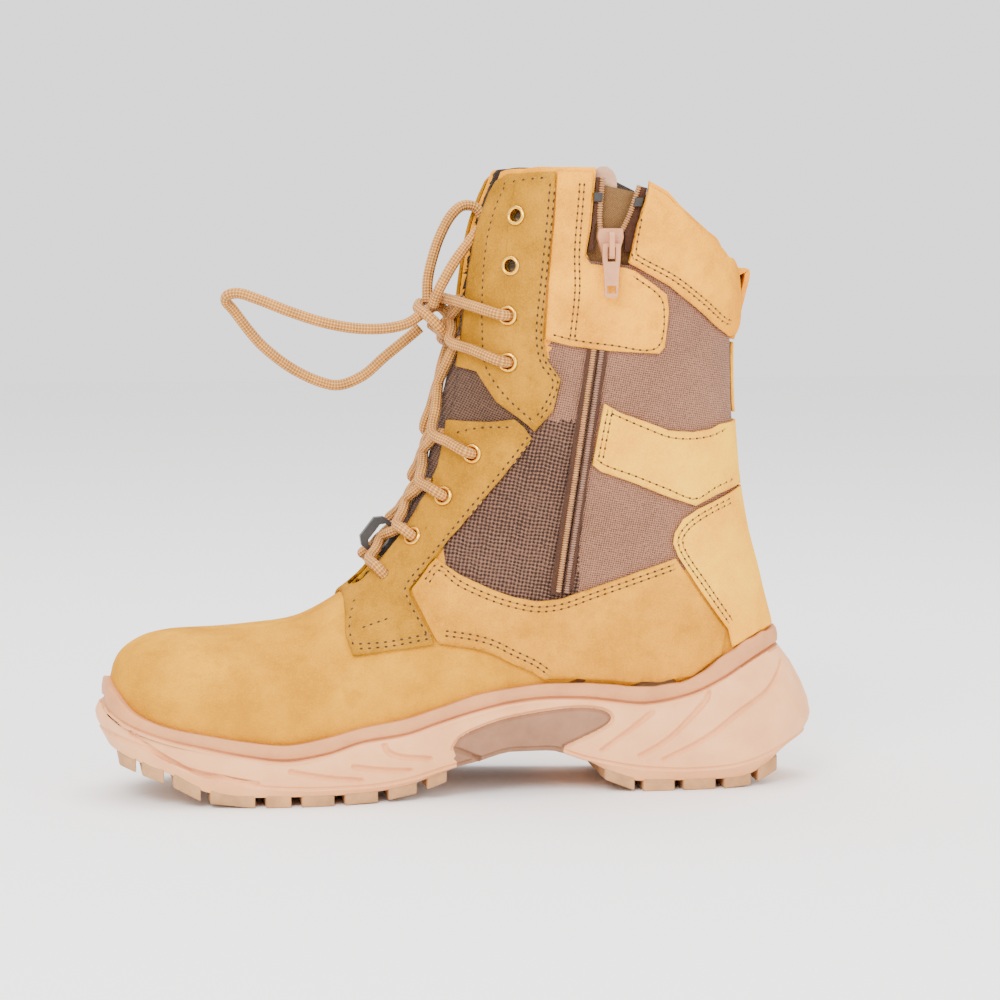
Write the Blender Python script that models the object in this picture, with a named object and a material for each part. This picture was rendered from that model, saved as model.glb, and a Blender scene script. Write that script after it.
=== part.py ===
# Combat boot with a side zip, right foot. The toe points to -X, the inner side faces -Y.
import math
from collections import namedtuple

import bmesh
import bpy
import numpy as np
from mathutils import Vector
from mathutils.bvhtree import BVHTree

MM = 0.001

# Driving sizes of the boot
SOLE_LENGTH = 312 * MM
BOOT_HEIGHT = 266 * MM
BALL_WIDTH = 102 * MM
SOLE_WIDTH = 109 * MM

# Thicknesses and clearances
WALL = 2.2 * MM
OVERLAY = 1.4 * MM
COLLAR_PADDING = 3.2 * MM
GAP = 0.3 * MM
INSOLE = 3.5 * MM
TONGUE = 2.6 * MM
RAND = 3.2 * MM
LUG_HEIGHT = 4.5 * MM
GROOVE_DEPTH = 1.0 * MM
RIM_CLEARANCE = 2.0 * MM

# How finely round shapes are divided
RING_SEGMENTS = 20
LONGEST_STEP = 30 * MM
OUTLINE_STEPS = 2

# Sections of the last, from the toe tip round the heel and up the shaft. Each lies in the plane
# through a front point, a back point and the Y axis. along is a share of SOLE_LENGTH from its
# middle, up a share of BOOT_HEIGHT, and swing, medial and lateral are shares of BALL_WIDTH.
# centre is where along the section it is widest, counted from its back point.
Section = namedtuple("Section", "name front_along front_up back_along back_up swing medial lateral "
                     "centre front_fullness back_fullness")
SECTIONS = (
    Section("tip", -0.479, 0.190, -0.479, 0.162, -0.078, 0.049, 0.049, 0.50, 2.00, 2.00),
    Section("toe_a", -0.474, 0.211, -0.476, 0.143, -0.078, 0.147, 0.147, 0.45, 2.10, 2.40),
    Section("toe_b", -0.465, 0.229, -0.466, 0.130, -0.078, 0.225, 0.216, 0.42, 2.20, 2.80),
    Section("toe_c", -0.449, 0.244, -0.449, 0.117, -0.074, 0.294, 0.279, 0.40, 2.30, 3.00),
    Section("toe_d", -0.426, 0.256, -0.423, 0.103, -0.064, 0.353, 0.338, 0.38, 2.30, 3.30),
    Section("toe_e", -0.388, 0.263, -0.381, 0.086, -0.049, 0.407, 0.402, 0.37, 2.30, 3.50),
    Section("toe_f", -0.337, 0.265, -0.324, 0.071, -0.034, 0.446, 0.451, 0.36, 2.25, 3.70),
    Section("ball_a", -0.279, 0.270, -0.263, 0.064, -0.020, 0.471, 0.480, 0.36, 2.15, 3.80),
    Section("ball_b", -0.224, 0.280, -0.192, 0.066, -0.005, 0.475, 0.490, 0.36, 2.05, 3.80),
    Section("vamp", -0.176, 0.305, -0.122, 0.079, 0.000, 0.451, 0.475, 0.36, 2.15, 3.60),
    Section("waist_a", -0.138, 0.336, -0.038, 0.102, 0.000, 0.412, 0.446, 0.37, 2.25, 3.40),
    Section("waist_b", -0.109, 0.374, 0.051, 0.118, 0.000, 0.377, 0.412, 0.38, 2.35, 3.20),
    Section("waist_c", -0.083, 0.414, 0.144, 0.128, 0.000, 0.358, 0.382, 0.40, 2.45, 3.00),
    Section("heel_a", -0.064, 0.455, 0.244, 0.132, 0.000, 0.353, 0.363, 0.43, 2.50, 2.90),
    Section("heel_b", -0.048, 0.496, 0.337, 0.135, 0.000, 0.353, 0.353, 0.45, 2.50, 2.70),
    Section("heel_c", -0.038, 0.538, 0.408, 0.158, 0.000, 0.358, 0.358, 0.46, 2.50, 2.60),
    Section("heel_d", -0.030, 0.579, 0.440, 0.233, 0.000, 0.368, 0.368, 0.47, 2.50, 2.30),
    Section("ankle_a", -0.022, 0.620, 0.424, 0.323, 0.000, 0.377, 0.377, 0.48, 2.50, 2.10),
    Section("ankle_b", -0.013, 0.669, 0.402, 0.421, 0.000, 0.387, 0.387, 0.48, 2.50, 2.10),
    Section("shaft_a", -0.003, 0.726, 0.388, 0.534, 0.000, 0.402, 0.402, 0.49, 2.50, 2.10),
    Section("shaft_b", 0.005, 0.786, 0.381, 0.647, 0.000, 0.417, 0.417, 0.50, 2.50, 2.15),
    Section("shaft_c", 0.013, 0.850, 0.380, 0.763, 0.000, 0.431, 0.431, 0.50, 2.45, 2.20),
    Section("shaft_d", 0.025, 0.917, 0.373, 0.872, 0.000, 0.441, 0.441, 0.50, 2.40, 2.20),
    Section("collar", 0.047, 0.985, 0.359, 0.970, 0.000, 0.441, 0.441, 0.50, 2.35, 2.20),
    Section("top", 0.070, 1.053, 0.346, 1.060, 0.000, 0.431, 0.431, 0.50, 2.35, 2.20),
)

# Plan outline of the sole at its widest, shares of SOLE_LENGTH and of SOLE_WIDTH
Outline = namedtuple("Outline", "along medial lateral")
SOLE_OUTLINE = (
    Outline(-0.500, -0.073, -0.073),
    Outline(-0.481, -0.275, 0.128),
    Outline(-0.442, -0.385, 0.257),
    Outline(-0.378, -0.459, 0.367),
    Outline(-0.295, -0.495, 0.450),
    Outline(-0.208, -0.500, 0.495),
    Outline(-0.112, -0.450, 0.500),
    Outline(-0.016, -0.385, 0.468),
    Outline(0.096, -0.349, 0.413),
    Outline(0.208, -0.339, 0.367),
    Outline(0.321, -0.349, 0.358),
    Outline(0.401, -0.330, 0.339),
    Outline(0.458, -0.239, 0.248),
    Outline(0.500, 0.000, 0.000),
)

# Heights of the sole's side along the boot: top of the rand, groove under it, widest line of the
# side panel, edge of the tread and the ground line, shares of BOOT_HEIGHT; tuck is how far the
# tread's edge lies inside the outline, a share of SOLE_WIDTH
SideLine = namedtuple("SideLine", "along rim groove belly edge ground tuck")
SOLE_SIDE = (
    SideLine(-0.500, 0.190, 0.158, 0.136, 0.115, 0.068, 0.050),
    SideLine(-0.481, 0.177, 0.143, 0.128, 0.109, 0.062, 0.045),
    SideLine(-0.449, 0.145, 0.124, 0.111, 0.098, 0.051, 0.038),
    SideLine(-0.404, 0.126, 0.107, 0.090, 0.075, 0.034, 0.034),
    SideLine(-0.359, 0.116, 0.096, 0.075, 0.054, 0.009, 0.034),
    SideLine(-0.304, 0.105, 0.083, 0.060, 0.038, 0.000, 0.034),
    SideLine(-0.250, 0.098, 0.075, 0.054, 0.032, 0.000, 0.034),
    SideLine(-0.199, 0.107, 0.083, 0.056, 0.030, 0.000, 0.034),
    SideLine(-0.144, 0.122, 0.101, 0.066, 0.030, 0.001, 0.034),
    SideLine(-0.087, 0.132, 0.109, 0.072, 0.036, 0.008, 0.034),
    SideLine(-0.038, 0.148, 0.126, 0.088, 0.050, 0.024, 0.034),
    SideLine(0.016, 0.167, 0.143, 0.103, 0.064, 0.046, 0.034),
    SideLine(0.064, 0.175, 0.154, 0.114, 0.077, 0.055, 0.034),
    SideLine(0.112, 0.180, 0.158, 0.116, 0.077, 0.055, 0.034),
    SideLine(0.160, 0.179, 0.156, 0.109, 0.060, 0.040, 0.034),
    SideLine(0.199, 0.175, 0.150, 0.101, 0.049, 0.016, 0.034),
    SideLine(0.244, 0.169, 0.143, 0.094, 0.040, 0.000, 0.040),
    SideLine(0.304, 0.177, 0.154, 0.094, 0.036, 0.000, 0.050),
    SideLine(0.353, 0.214, 0.180, 0.098, 0.038, 0.000, 0.060),
    SideLine(0.391, 0.237, 0.203, 0.101, 0.045, 0.002, 0.070),
    SideLine(0.433, 0.250, 0.220, 0.105, 0.060, 0.018, 0.075),
    SideLine(0.468, 0.252, 0.226, 0.107, 0.075, 0.040, 0.070),
    SideLine(0.500, 0.252, 0.226, 0.107, 0.083, 0.060, 0.070),
)

# Cross rows of lugs: where each starts and ends along the boot, shares of SOLE_LENGTH
LugRow = namedtuple("LugRow", "start end")
LUG_ROWS = (
    LugRow(-0.470, -0.448),
    LugRow(-0.441, -0.412),
    LugRow(-0.400, -0.364),
    LugRow(-0.352, -0.292),
    LugRow(-0.278, -0.244),
    LugRow(-0.230, -0.186),
    LugRow(-0.172, -0.126),
    LugRow(-0.112, -0.072),
    LugRow(-0.058, -0.030),
    LugRow(0.190, 0.232),
    LugRow(0.244, 0.288),
    LugRow(0.300, 0.346),
    LugRow(0.358, 0.398),
    LugRow(0.408, 0.440),
)

# Side view of the collar line, from the top of the facings to the back
Along = namedtuple("Along", "along up")
COLLAR_LINE = (
    Along(0.020, 0.986),
    Along(0.045, 0.989),
    Along(0.062, 0.995),
    Along(0.103, 1.000),
    Along(0.167, 1.000),
    Along(0.244, 0.978),
    Along(0.269, 0.962),
    Along(0.288, 0.940),
    Along(0.311, 0.917),
    Along(0.346, 0.887),
    Along(0.362, 0.862),
    Along(0.400, 0.840),
)

# Side view of the notch over the zip, medial side only
NOTCH_LINE = (
    Along(0.172, 1.060),
    Along(0.170, 0.992),
    Along(0.163, 0.906),
    Along(0.157, 0.865),
    Along(0.163, 0.853),
    Along(0.215, 0.846),
    Along(0.228, 0.906),
    Along(0.242, 0.970),
    Along(0.248, 1.060),
)

# Throat up the front ridge; its start and the tongue's top edge are shares of BOOT_HEIGHT
THROAT_START = 0.325
THROAT_HALF_LOW = 11 * MM
THROAT_HALF_TOP = 15 * MM
THROAT_ROUND = 9 * MM
TONGUE_TOP = 0.925
TONGUE_STEPS = 3
TONGUE_ROOT = 10 * MM

# Side view outlines of the pieces laid over the upper. One that ends at the throat or goes round
# the back runs past the last there.
UPPER_FACING = (
    Along(0.118, 0.994), Along(0.114, 0.927), Along(0.106, 0.828), Along(0.101, 0.729),
    Along(0.108, 0.695), Along(0.125, 0.667), Along(0.115, 0.616), Along(0.091, 0.583),
    Along(0.083, 0.592), Along(0.043, 0.629), Along(0.019, 0.676), Along(-0.030, 0.690),
    Along(-0.030, 0.940), Along(0.034, 0.950), Along(0.047, 0.978), Along(0.062, 0.989))
LOWER_FACING = (
    Along(0.007, 0.598), Along(0.036, 0.598), Along(0.065, 0.603), Along(0.078, 0.590),
    Along(0.089, 0.571), Along(0.053, 0.513), Along(0.011, 0.453), Along(-0.039, 0.384),
    Along(-0.077, 0.333), Along(-0.076, 0.323), Along(-0.051, 0.261), Along(-0.046, 0.248),
    Along(-0.158, 0.233), Along(-0.166, 0.262), Along(-0.164, 0.292), Along(-0.158, 0.360),
    Along(-0.120, 0.440), Along(-0.075, 0.540), Along(-0.060, 0.590))
QUARTER = (
    Along(-0.040, 0.381), Along(-0.009, 0.356), Along(0.033, 0.333), Along(0.064, 0.320),
    Along(0.095, 0.313), Along(0.126, 0.316), Along(0.173, 0.334), Along(0.233, 0.358),
    Along(0.285, 0.379), Along(0.319, 0.320), Along(0.357, 0.259))
QUARTER_LOW = (0.352, 0.112)
QUARTER_FRONT = (
    Along(0.105, 0.186), Along(0.088, 0.199), Along(0.063, 0.212), Along(0.031, 0.231),
    Along(0.005, 0.240), Along(-0.041, 0.249), Along(-0.049, 0.264), Along(-0.074, 0.325),
    Along(-0.074, 0.334))
GUARD = (
    Along(0.120, 0.994), Along(0.116, 0.927), Along(0.108, 0.828), Along(0.103, 0.729),
    Along(0.138, 0.719), Along(0.190, 0.711), Along(0.258, 0.706), Along(0.266, 0.716),
    Along(0.271, 0.774), Along(0.268, 0.800), Along(0.251, 0.815), Along(0.223, 0.838))
GUARD_NOTCH = (
    Along(0.209, 0.843), Along(0.163, 0.849), Along(0.155, 0.862), Along(0.160, 0.908),
    Along(0.167, 0.992))
GUARD_LATERAL = (
    Along(0.211, 0.850), Along(0.222, 0.908), Along(0.238, 0.974), Along(0.167, 0.992))
COLLAR_PAD = (
    Along(0.500, 0.838), Along(0.360, 0.857), Along(0.346, 0.880), Along(0.311, 0.911),
    Along(0.288, 0.934), Along(0.268, 0.957), Along(0.242, 0.972), Along(0.224, 0.908),
    Along(0.213, 0.850), Along(0.223, 0.844), Along(0.273, 0.812), Along(0.327, 0.765),
    Along(0.352, 0.742), Along(0.372, 0.729), Along(0.500, 0.722))
STRAP = (
    Along(0.352, 0.590), Along(0.336, 0.583), Along(0.308, 0.580), Along(0.274, 0.584),
    Along(0.243, 0.598), Along(0.205, 0.614), Along(0.183, 0.629), Along(0.168, 0.530),
    Along(0.180, 0.519), Along(0.224, 0.501), Along(0.269, 0.479), Along(0.313, 0.461),
    Along(0.346, 0.477), Along(0.384, 0.488), Along(0.500, 0.490), Along(0.500, 0.598))
COUNTER = (
    Along(0.384, 0.484), Along(0.351, 0.471), Along(0.316, 0.456), Along(0.295, 0.441),
    Along(0.283, 0.419), Along(0.281, 0.402), Along(0.288, 0.381), Along(0.322, 0.321),
    Along(0.360, 0.260))
COUNTER_LOW = (0.366, 0.500)
BACKSTAY = (Along(0.300, 0.604), Along(0.500, 0.604), Along(0.500, 0.718), Along(0.300, 0.718))
BACKSTAY_HALF = 8.5 * MM

# The zip on the medial side: its two tapes below the guard, their edges inside the notch, the
# sheet behind the notch, the stops and the slider
ZIP_FRONT_TAPE = (
    Along(0.158, 0.703), Along(0.136, 0.517), Along(0.112, 0.322), Along(0.128, 0.323),
    Along(0.151, 0.517), Along(0.173, 0.703))
ZIP_REAR_TAPE = (
    Along(0.174, 0.703), Along(0.152, 0.517), Along(0.129, 0.323), Along(0.144, 0.330),
    Along(0.164, 0.517), Along(0.187, 0.702))
ZIP_FRONT_EDGE = (
    Along(0.1590, 0.868), Along(0.1685, 0.868), Along(0.1685, 0.908), Along(0.1760, 0.922),
    Along(0.1810, 0.985), Along(0.1705, 0.985), Along(0.1645, 0.908))
ZIP_REAR_EDGE = (
    Along(0.2085, 0.866), Along(0.2180, 0.866), Along(0.2268, 0.908), Along(0.2405, 0.968),
    Along(0.2260, 0.972), Along(0.2150, 0.922), Along(0.2085, 0.908))
ZIP_GUSSET = (
    Along(0.146, 0.820), Along(0.246, 0.820), Along(0.250, 0.955), Along(0.160, 0.978))
ZIP_FRONT_STOP = (
    Along(0.1655, 0.946), Along(0.1780, 0.946), Along(0.1785, 0.961), Along(0.1660, 0.961))
ZIP_REAR_STOP = (
    Along(0.2195, 0.938), Along(0.2320, 0.938), Along(0.2345, 0.953), Along(0.2220, 0.953))
ZIP_SLIDER = (
    Along(0.1790, 0.858), Along(0.1990, 0.858), Along(0.2065, 0.890), Along(0.2050, 0.905),
    Along(0.1725, 0.905), Along(0.1705, 0.890))
SLIDER_MIDDLE = Along(0.1888, 0.878)
SLIDER_TOP = 3.0 * MM
BRIDGE_HALF = 1.1 * MM
BRIDGE_UNDERSIDE = 5.5 * MM
HINGE_OUT = 4.25 * MM
PULL_THICKNESS = 1.6 * MM

# The pull tab hanging from its bar: outline, the opening round the bridge and the square hole, in
# millimetres beside and above the hinge
Spot = namedtuple("Spot", "beside above")
PULL_OUTLINE = (
    Spot(-3.9, 0.75), Spot(3.9, 0.75), Spot(3.7, -6.0), Spot(3.1, -12.0), Spot(2.8, -21.0),
    Spot(2.2, -21.8), Spot(-2.2, -21.8), Spot(-2.8, -21.0), Spot(-3.1, -12.0), Spot(-3.7, -6.0))
PULL_OPENING = (Spot(-1.7, -0.75), Spot(1.7, -0.75), Spot(1.7, -6.8), Spot(-1.7, -6.8))
PULL_HOLE = (Spot(-1.9, -16.8), Spot(1.9, -16.8), Spot(1.9, -20.0), Spot(-1.9, -20.0))

# Side view of the pull loop's strip, outer face then inner face, and half its width
LOOP_STRIP = (
    Along(0.3880, 0.722), Along(0.3955, 0.765), Along(0.4035, 0.805), Along(0.4070, 0.826),
    Along(0.4055, 0.839), Along(0.4000, 0.844), Along(0.3850, 0.836), Along(0.3850, 0.826),
    Along(0.4000, 0.832), Along(0.3975, 0.806), Along(0.3890, 0.766), Along(0.3750, 0.742),
    Along(0.3750, 0.722))
LOOP_HALF = 9.5 * MM

# Grooves in the sole's sides, side view
SOLE_GROOVES = (
    (Along(-0.018, 0.082), Along(-0.010, 0.101), Along(0.080, 0.131), Along(0.144, 0.139),
     Along(0.192, 0.131), Along(0.190, 0.111), Along(0.133, 0.082)),
    (Along(-0.114, 0.092), Along(-0.055, 0.070)),
    (Along(0.255, 0.130), Along(0.186, 0.071)),
    (Along(0.330, 0.158), Along(0.298, 0.110), Along(0.240, 0.060)),
    (Along(0.446, 0.200), Along(0.419, 0.160), Along(0.328, 0.087), Along(0.274, 0.055)),
)
SIDE_GROOVE_WIDTH = 1.4 * MM

# Eyelets up each facing, side view; the last hole has no ring
EYELETS = (
    Along(0.070, 0.923), Along(0.062, 0.845), Along(0.058, 0.767), Along(0.058, 0.693),
    Along(0.013, 0.546), Along(-0.024, 0.476), Along(-0.065, 0.410), Along(-0.106, 0.350))
RINGED_EYELETS = 7
FIRST_SEAT = 4
EYELET_HOLE = 5.3 * MM
EYELET_FLANGE = 8.4 * MM
EYELET_BARREL = 6.2 * MM
EYELET_HEIGHT = 1.0 * MM
ROUND_STEPS = 7

# Laces: which eyelets each crossing joins, counted from the top, and its height over the last
LACE = 4.6 * MM
LACE_SIDES = 5
Crossing = namedtuple("Crossing", "start end height")
CROSSINGS = (
    Crossing(2, 3, 2.8), Crossing(3, 4, 2.8), Crossing(4, 5, 2.8), Crossing(5, 6, 2.8),
    Crossing(6, 7, 4.2))

# The laces in front of the boot: their points are in millimetres
Point = namedtuple("Point", "x y z")
KNOT = (Point(-11.5, -7.5, 206.5), Point(-12.6, -3.0, 204.5), Point(-12.4, 3.0, 201.5),
        Point(-11.0, 6.0, 198.0))
KNOT_THICKNESS = 8.0
LOOP = (
    Point(-16.6, -6.9, 203.3), Point(-22.0, -9.5, 200.0), Point(-31.0, -12.0, 198.0), Point(-44.0, -13.0, 198.0),
    Point(-58.0, -13.0, 200.5), Point(-72.0, -12.0, 205.0), Point(-86.0, -10.0, 210.5),
    Point(-94.0, -8.0, 213.0), Point(-98.5, -6.0, 212.0), Point(-99.0, -4.0, 209.5),
    Point(-96.0, -2.0, 206.0), Point(-90.0, 0.0, 198.0), Point(-83.0, 2.0, 190.0),
    Point(-70.0, 4.0, 180.0), Point(-57.0, 5.0, 174.0), Point(-50.0, 5.0, 173.0),
    Point(-40.0, 4.0, 177.0), Point(-31.0, 2.0, 185.0), Point(-20.5, 1.5, 193.5), Point(-15.6, 1.4, 197.6))
END_MEDIAL = (
    Point(-11.2, -8.9, 207.1), Point(-10.3, -13.5, 212.5), Point(-6.5, -17.5, 219.5),
    Point(-3.5, -19.0, 227.0))
END_LATERAL = (
    Point(-12.6, 0.3, 207.7), Point(-12.0, 3.0, 218.0), Point(-9.5, 5.0, 228.0),
    Point(-6.0, 7.5, 237.0), Point(-1.0, 10.0, 245.5), Point(4.5, 12.0, 251.5))

# The keeper on the lowest crossing, in millimetres along the ridge and out from it
Offset = namedtuple("Offset", "ahead out")
KEEPER_OUTER = (
    Offset(-5.0, -1.2), Offset(5.0, -1.2), Offset(7.8, 1.6), Offset(7.8, 9.0), Offset(5.0, 12.0),
    Offset(-5.0, 12.0), Offset(-7.8, 9.0), Offset(-7.8, 1.6))
KEEPER_INNER = (
    Offset(-4.2, 0.9), Offset(4.2, 0.9), Offset(5.8, 2.6), Offset(5.8, 6.6), Offset(4.2, 8.2),
    Offset(-4.2, 8.2), Offset(-5.8, 6.6), Offset(-5.8, 2.6))
KEEPER_HALF = 2.5 * MM


def clear_scene():
    # Leaves an empty scene
    for old in list(bpy.data.objects):
        bpy.data.objects.remove(old, do_unlink=True)


def smooth_curve(stations, values):
    # A monotone cubic through the rows of a table
    x = np.asarray(stations, float)
    y = np.asarray(values, float)
    step = np.diff(x)
    slope = np.diff(y) / step
    tangent = np.zeros_like(y)
    tangent[0] = slope[0]
    tangent[-1] = slope[-1]
    for i in range(1, len(x) - 1):
        if slope[i - 1] * slope[i] > 0:
            before = 2 * step[i] + step[i - 1]
            after = step[i] + 2 * step[i - 1]
            tangent[i] = (before + after) / (before / slope[i - 1] + after / slope[i])

    def value(at):
        at = np.clip(np.asarray(at, float), x[0], x[-1])
        i = np.clip(np.searchsorted(x, at, side="right") - 1, 0, len(x) - 2)
        h = step[i]
        s = (at - x[i]) / h
        start = (2 * s ** 3 - 3 * s ** 2 + 1) * y[i] + (s ** 3 - 2 * s ** 2 + s) * h * tangent[i]
        end = (3 * s ** 2 - 2 * s ** 3) * y[i + 1] + (s ** 3 - s ** 2) * h * tangent[i + 1]
        return start + end

    return value


def column(table, name):
    return np.array([getattr(row, name) for row in table], float)


# Distance along the last at each section, halfway between its front and back points
SECTION_MIDDLES = np.stack([
    (column(SECTIONS, "front_along") + column(SECTIONS, "back_along")) / 2 * SOLE_LENGTH,
    (column(SECTIONS, "front_up") + column(SECTIONS, "back_up")) / 2 * BOOT_HEIGHT], axis=1)
SECTION_PLACES = np.concatenate([[0], np.cumsum(
    np.linalg.norm(np.diff(SECTION_MIDDLES, axis=0), axis=1))])
SECTION_CURVES = {name: smooth_curve(SECTION_PLACES, column(SECTIONS, name))
                  for name in Section._fields[1:]}


def place_of(name):
    # How far along the last a named section lies
    return SECTION_PLACES[[row.name for row in SECTIONS].index(name)]


def front_point(place):
    return np.stack([SECTION_CURVES["front_along"](place) * SOLE_LENGTH,
                     SECTION_CURVES["swing"](place) * BALL_WIDTH,
                     SECTION_CURVES["front_up"](place) * BOOT_HEIGHT], axis=-1)


def back_point(place):
    return np.stack([SECTION_CURVES["back_along"](place) * SOLE_LENGTH,
                     SECTION_CURVES["swing"](place) * BALL_WIDTH,
                     SECTION_CURVES["back_up"](place) * BOOT_HEIGHT], axis=-1)


def on_last(place, angle):
    # A point of the last: angle 0 is the front ridge, positive to the lateral side, pi the back
    place, angle = np.broadcast_arrays(np.asarray(place, float), np.asarray(angle, float))
    front = front_point(place)
    back = back_point(place)
    chord = front - back
    length = np.linalg.norm(chord, axis=-1)
    forward = chord / length[..., None]
    centre_share = SECTION_CURVES["centre"](place)
    centre = back + chord * centre_share[..., None]
    ahead = np.cos(angle)
    aside = np.sin(angle)
    reach = np.where(ahead > 0, 1 - centre_share, centre_share) * length
    fullness = np.where(ahead > 0, SECTION_CURVES["front_fullness"](place),
                        SECTION_CURVES["back_fullness"](place))
    width = np.where(aside < 0, SECTION_CURVES["medial"](place),
                     SECTION_CURVES["lateral"](place)) * BALL_WIDTH
    radius = (np.abs(ahead / reach) ** fullness + np.abs(aside / width) ** fullness) ** (-1 / fullness)
    point = centre + forward * (radius * ahead)[..., None]
    point[..., 1] += radius * aside
    return point


def off_last(place, angle, offset):
    # A point at a distance outside the last, or inside it where the offset is negative
    place, angle = np.broadcast_arrays(np.asarray(place, float), np.asarray(angle, float))
    end = SECTION_PLACES[-1]
    before = np.clip(place - 0.5 * MM, 0, end)
    after = np.clip(place + 0.5 * MM, 0, end)
    turn = 0.004
    ahead = on_last(after, angle) - on_last(before, angle)
    around = on_last(place, angle + turn) - on_last(place, angle - turn)
    normal = np.cross(ahead, around)
    normal /= np.linalg.norm(normal, axis=-1)[..., None]
    return on_last(place, angle) + normal * np.asarray(offset)[..., None]


def ring_places():
    # The sections, with one more between two that lie far apart
    places = [SECTION_PLACES[0]]
    for place in SECTION_PLACES[1:]:
        extra = int((place - places[-1]) / LONGEST_STEP)
        places += list(np.linspace(places[-1], place, extra + 2)[1:])
    return np.array(places)


def material(name, colour, roughness, metallic=0.0):
    mat = bpy.data.materials.new(name)
    mat.use_nodes = True
    shader = mat.node_tree.nodes["Principled BSDF"]
    shader.inputs["Base Color"].default_value = (*colour, 1)
    shader.inputs["Roughness"].default_value = roughness
    shader.inputs["Metallic"].default_value = metallic
    mat.diffuse_color = (*colour, 1)
    return mat


# Colour, roughness and metallic of each finish
SUEDE = ((0.68, 0.42, 0.14), 0.85, 0.0)
NYLON = ((0.24, 0.14, 0.11), 0.80, 0.0)
RUBBER = ((0.66, 0.50, 0.40), 0.60, 0.0)
LINING = ((0.55, 0.45, 0.35), 0.90, 0.0)
BRASS = ((0.70, 0.50, 0.20), 0.30, 1.0)
CORD = ((0.50, 0.33, 0.14), 0.80, 0.0)
ZIP_METAL = ((0.40, 0.24, 0.19), 0.45, 0.0)
BLACK = ((0.02, 0.02, 0.02), 0.50, 0.0)


def new_piece(name, vertices, faces, finish):
    # One named object from points and faces, with its faces turned outward
    mesh = bpy.data.meshes.new(name)
    mesh.from_pydata([tuple(v) for v in vertices], [], [tuple(f) for f in faces])
    bm = bmesh.new()
    bm.from_mesh(mesh)
    bmesh.ops.recalc_face_normals(bm, faces=bm.faces[:])
    bm.to_mesh(mesh)
    bm.free()
    piece = bpy.data.objects.new(name, mesh)
    bpy.context.collection.objects.link(piece)
    mesh.materials.append(material(name, *finish))
    mesh.shade_smooth()
    mesh.set_sharp_from_angle(angle=math.radians(35))
    return piece


def helper(name, maker, *sizes):
    # A form that only cuts or joins, made at its first use
    found = bpy.data.objects.get(name)
    if found is None:
        found = new_piece(name, *maker(*sizes), BLACK)
        found.hide_render = True
        found.display_type = "WIRE"
    return found


def shape_with(piece, cutter, operation="DIFFERENCE"):
    step = piece.modifiers.new(cutter.name, "BOOLEAN")
    step.operation = operation
    step.solver = "EXACT"
    step.object = cutter


def join_flat_faces(piece):
    # Merges what the cuts left in pieces within one plane
    step = piece.modifiers.new("join_flat_faces", "DECIMATE")
    step.decimate_type = "DISSOLVE"
    step.angle_limit = math.radians(0.2)


def tube_of_rings(rings):
    # Closed surface through rings of equal size, with a fan at each end
    count = len(rings[0])
    vertices = [p for ring in rings for p in ring]
    faces = []
    for r in range(len(rings) - 1):
        for i in range(count):
            j = (i + 1) % count
            near, far = r * count, (r + 1) * count
            faces += [(near + i, near + j, far + j), (near + i, far + j, far + i)]
    for first in (0, (len(rings) - 1) * count):
        vertices.append(np.mean([vertices[first + i] for i in range(count)], axis=0))
        middle = len(vertices) - 1
        for i in range(count):
            faces.append((first + i, first + (i + 1) % count, middle))
    return vertices, faces


def last_form(offset, drop=0.0):
    # The whole last as a closed form, grown or shrunk by an offset
    angles = np.linspace(-math.pi, math.pi, RING_SEGMENTS, endpoint=False)
    rings = []
    for place in ring_places():
        ring = off_last(place, angles, np.full(len(angles), offset))
        rings.append(ring - np.array([0, 0, drop]))
    rings[0] = rings[0] - np.array([offset, 0, 0])
    if offset < 0:
        rings = rings[1:]
    return tube_of_rings(rings)


def drawn_in(border, distance):
    # A closed line moved inward, so that neighbours keep a gap
    border = np.array(border)
    area = np.sum(border[:, 0] * np.roll(border[:, 1], -1) - np.roll(border[:, 0], -1) * border[:, 1])
    turn = 1 if area > 0 else -1
    before = border - np.roll(border, 1, axis=0)
    after = np.roll(border, -1, axis=0) - border
    inward = []
    for a, b in zip(before, after):
        na = turn * np.array([-a[1], a[0]]) / np.linalg.norm(a)
        nb = turn * np.array([-b[1], b[0]]) / np.linalg.norm(b)
        both = na + nb
        inward.append(both / max(np.dot(both, na), 0.5))
    return border + np.array(inward) * distance


def prism_between(first_ring, second_ring):
    # A closed form between two outlines of equal size
    count = len(first_ring)
    faces = [tuple(range(count)), tuple(range(2 * count - 1, count - 1, -1))]
    faces += [(i, i + count, (i + 1) % count + count, (i + 1) % count) for i in range(count)]
    return list(first_ring) + list(second_ring), faces


def side_prism(outline, y_start, y_end, inset=0.0):
    # A prism along Y over a side view outline given as shares
    points = drawn_in([(p.along * SOLE_LENGTH, p.up * BOOT_HEIGHT) for p in outline], inset)
    return prism_between([(x, y_start, z) for x, z in points], [(x, y_end, z) for x, z in points])


def ridge_place(up):
    # Where along the last the front ridge reaches a height, given as a share of BOOT_HEIGHT
    places = np.linspace(place_of("toe_f"), SECTION_PLACES[-1], 400)
    heights = SECTION_CURVES["front_up"](places)
    return float(np.interp(up, heights, places))


def throat_half(place):
    # Half width of the throat at a place along the last
    start = ridge_place(THROAT_START)
    share = (place - start) / (SECTION_PLACES[-1] - start)
    straight = THROAT_HALF_LOW + (THROAT_HALF_TOP - THROAT_HALF_LOW) * share
    ending = np.clip((place - start) / THROAT_ROUND, 0.02, 1)
    return straight * np.sqrt(1 - (1 - ending) ** 2)


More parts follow.
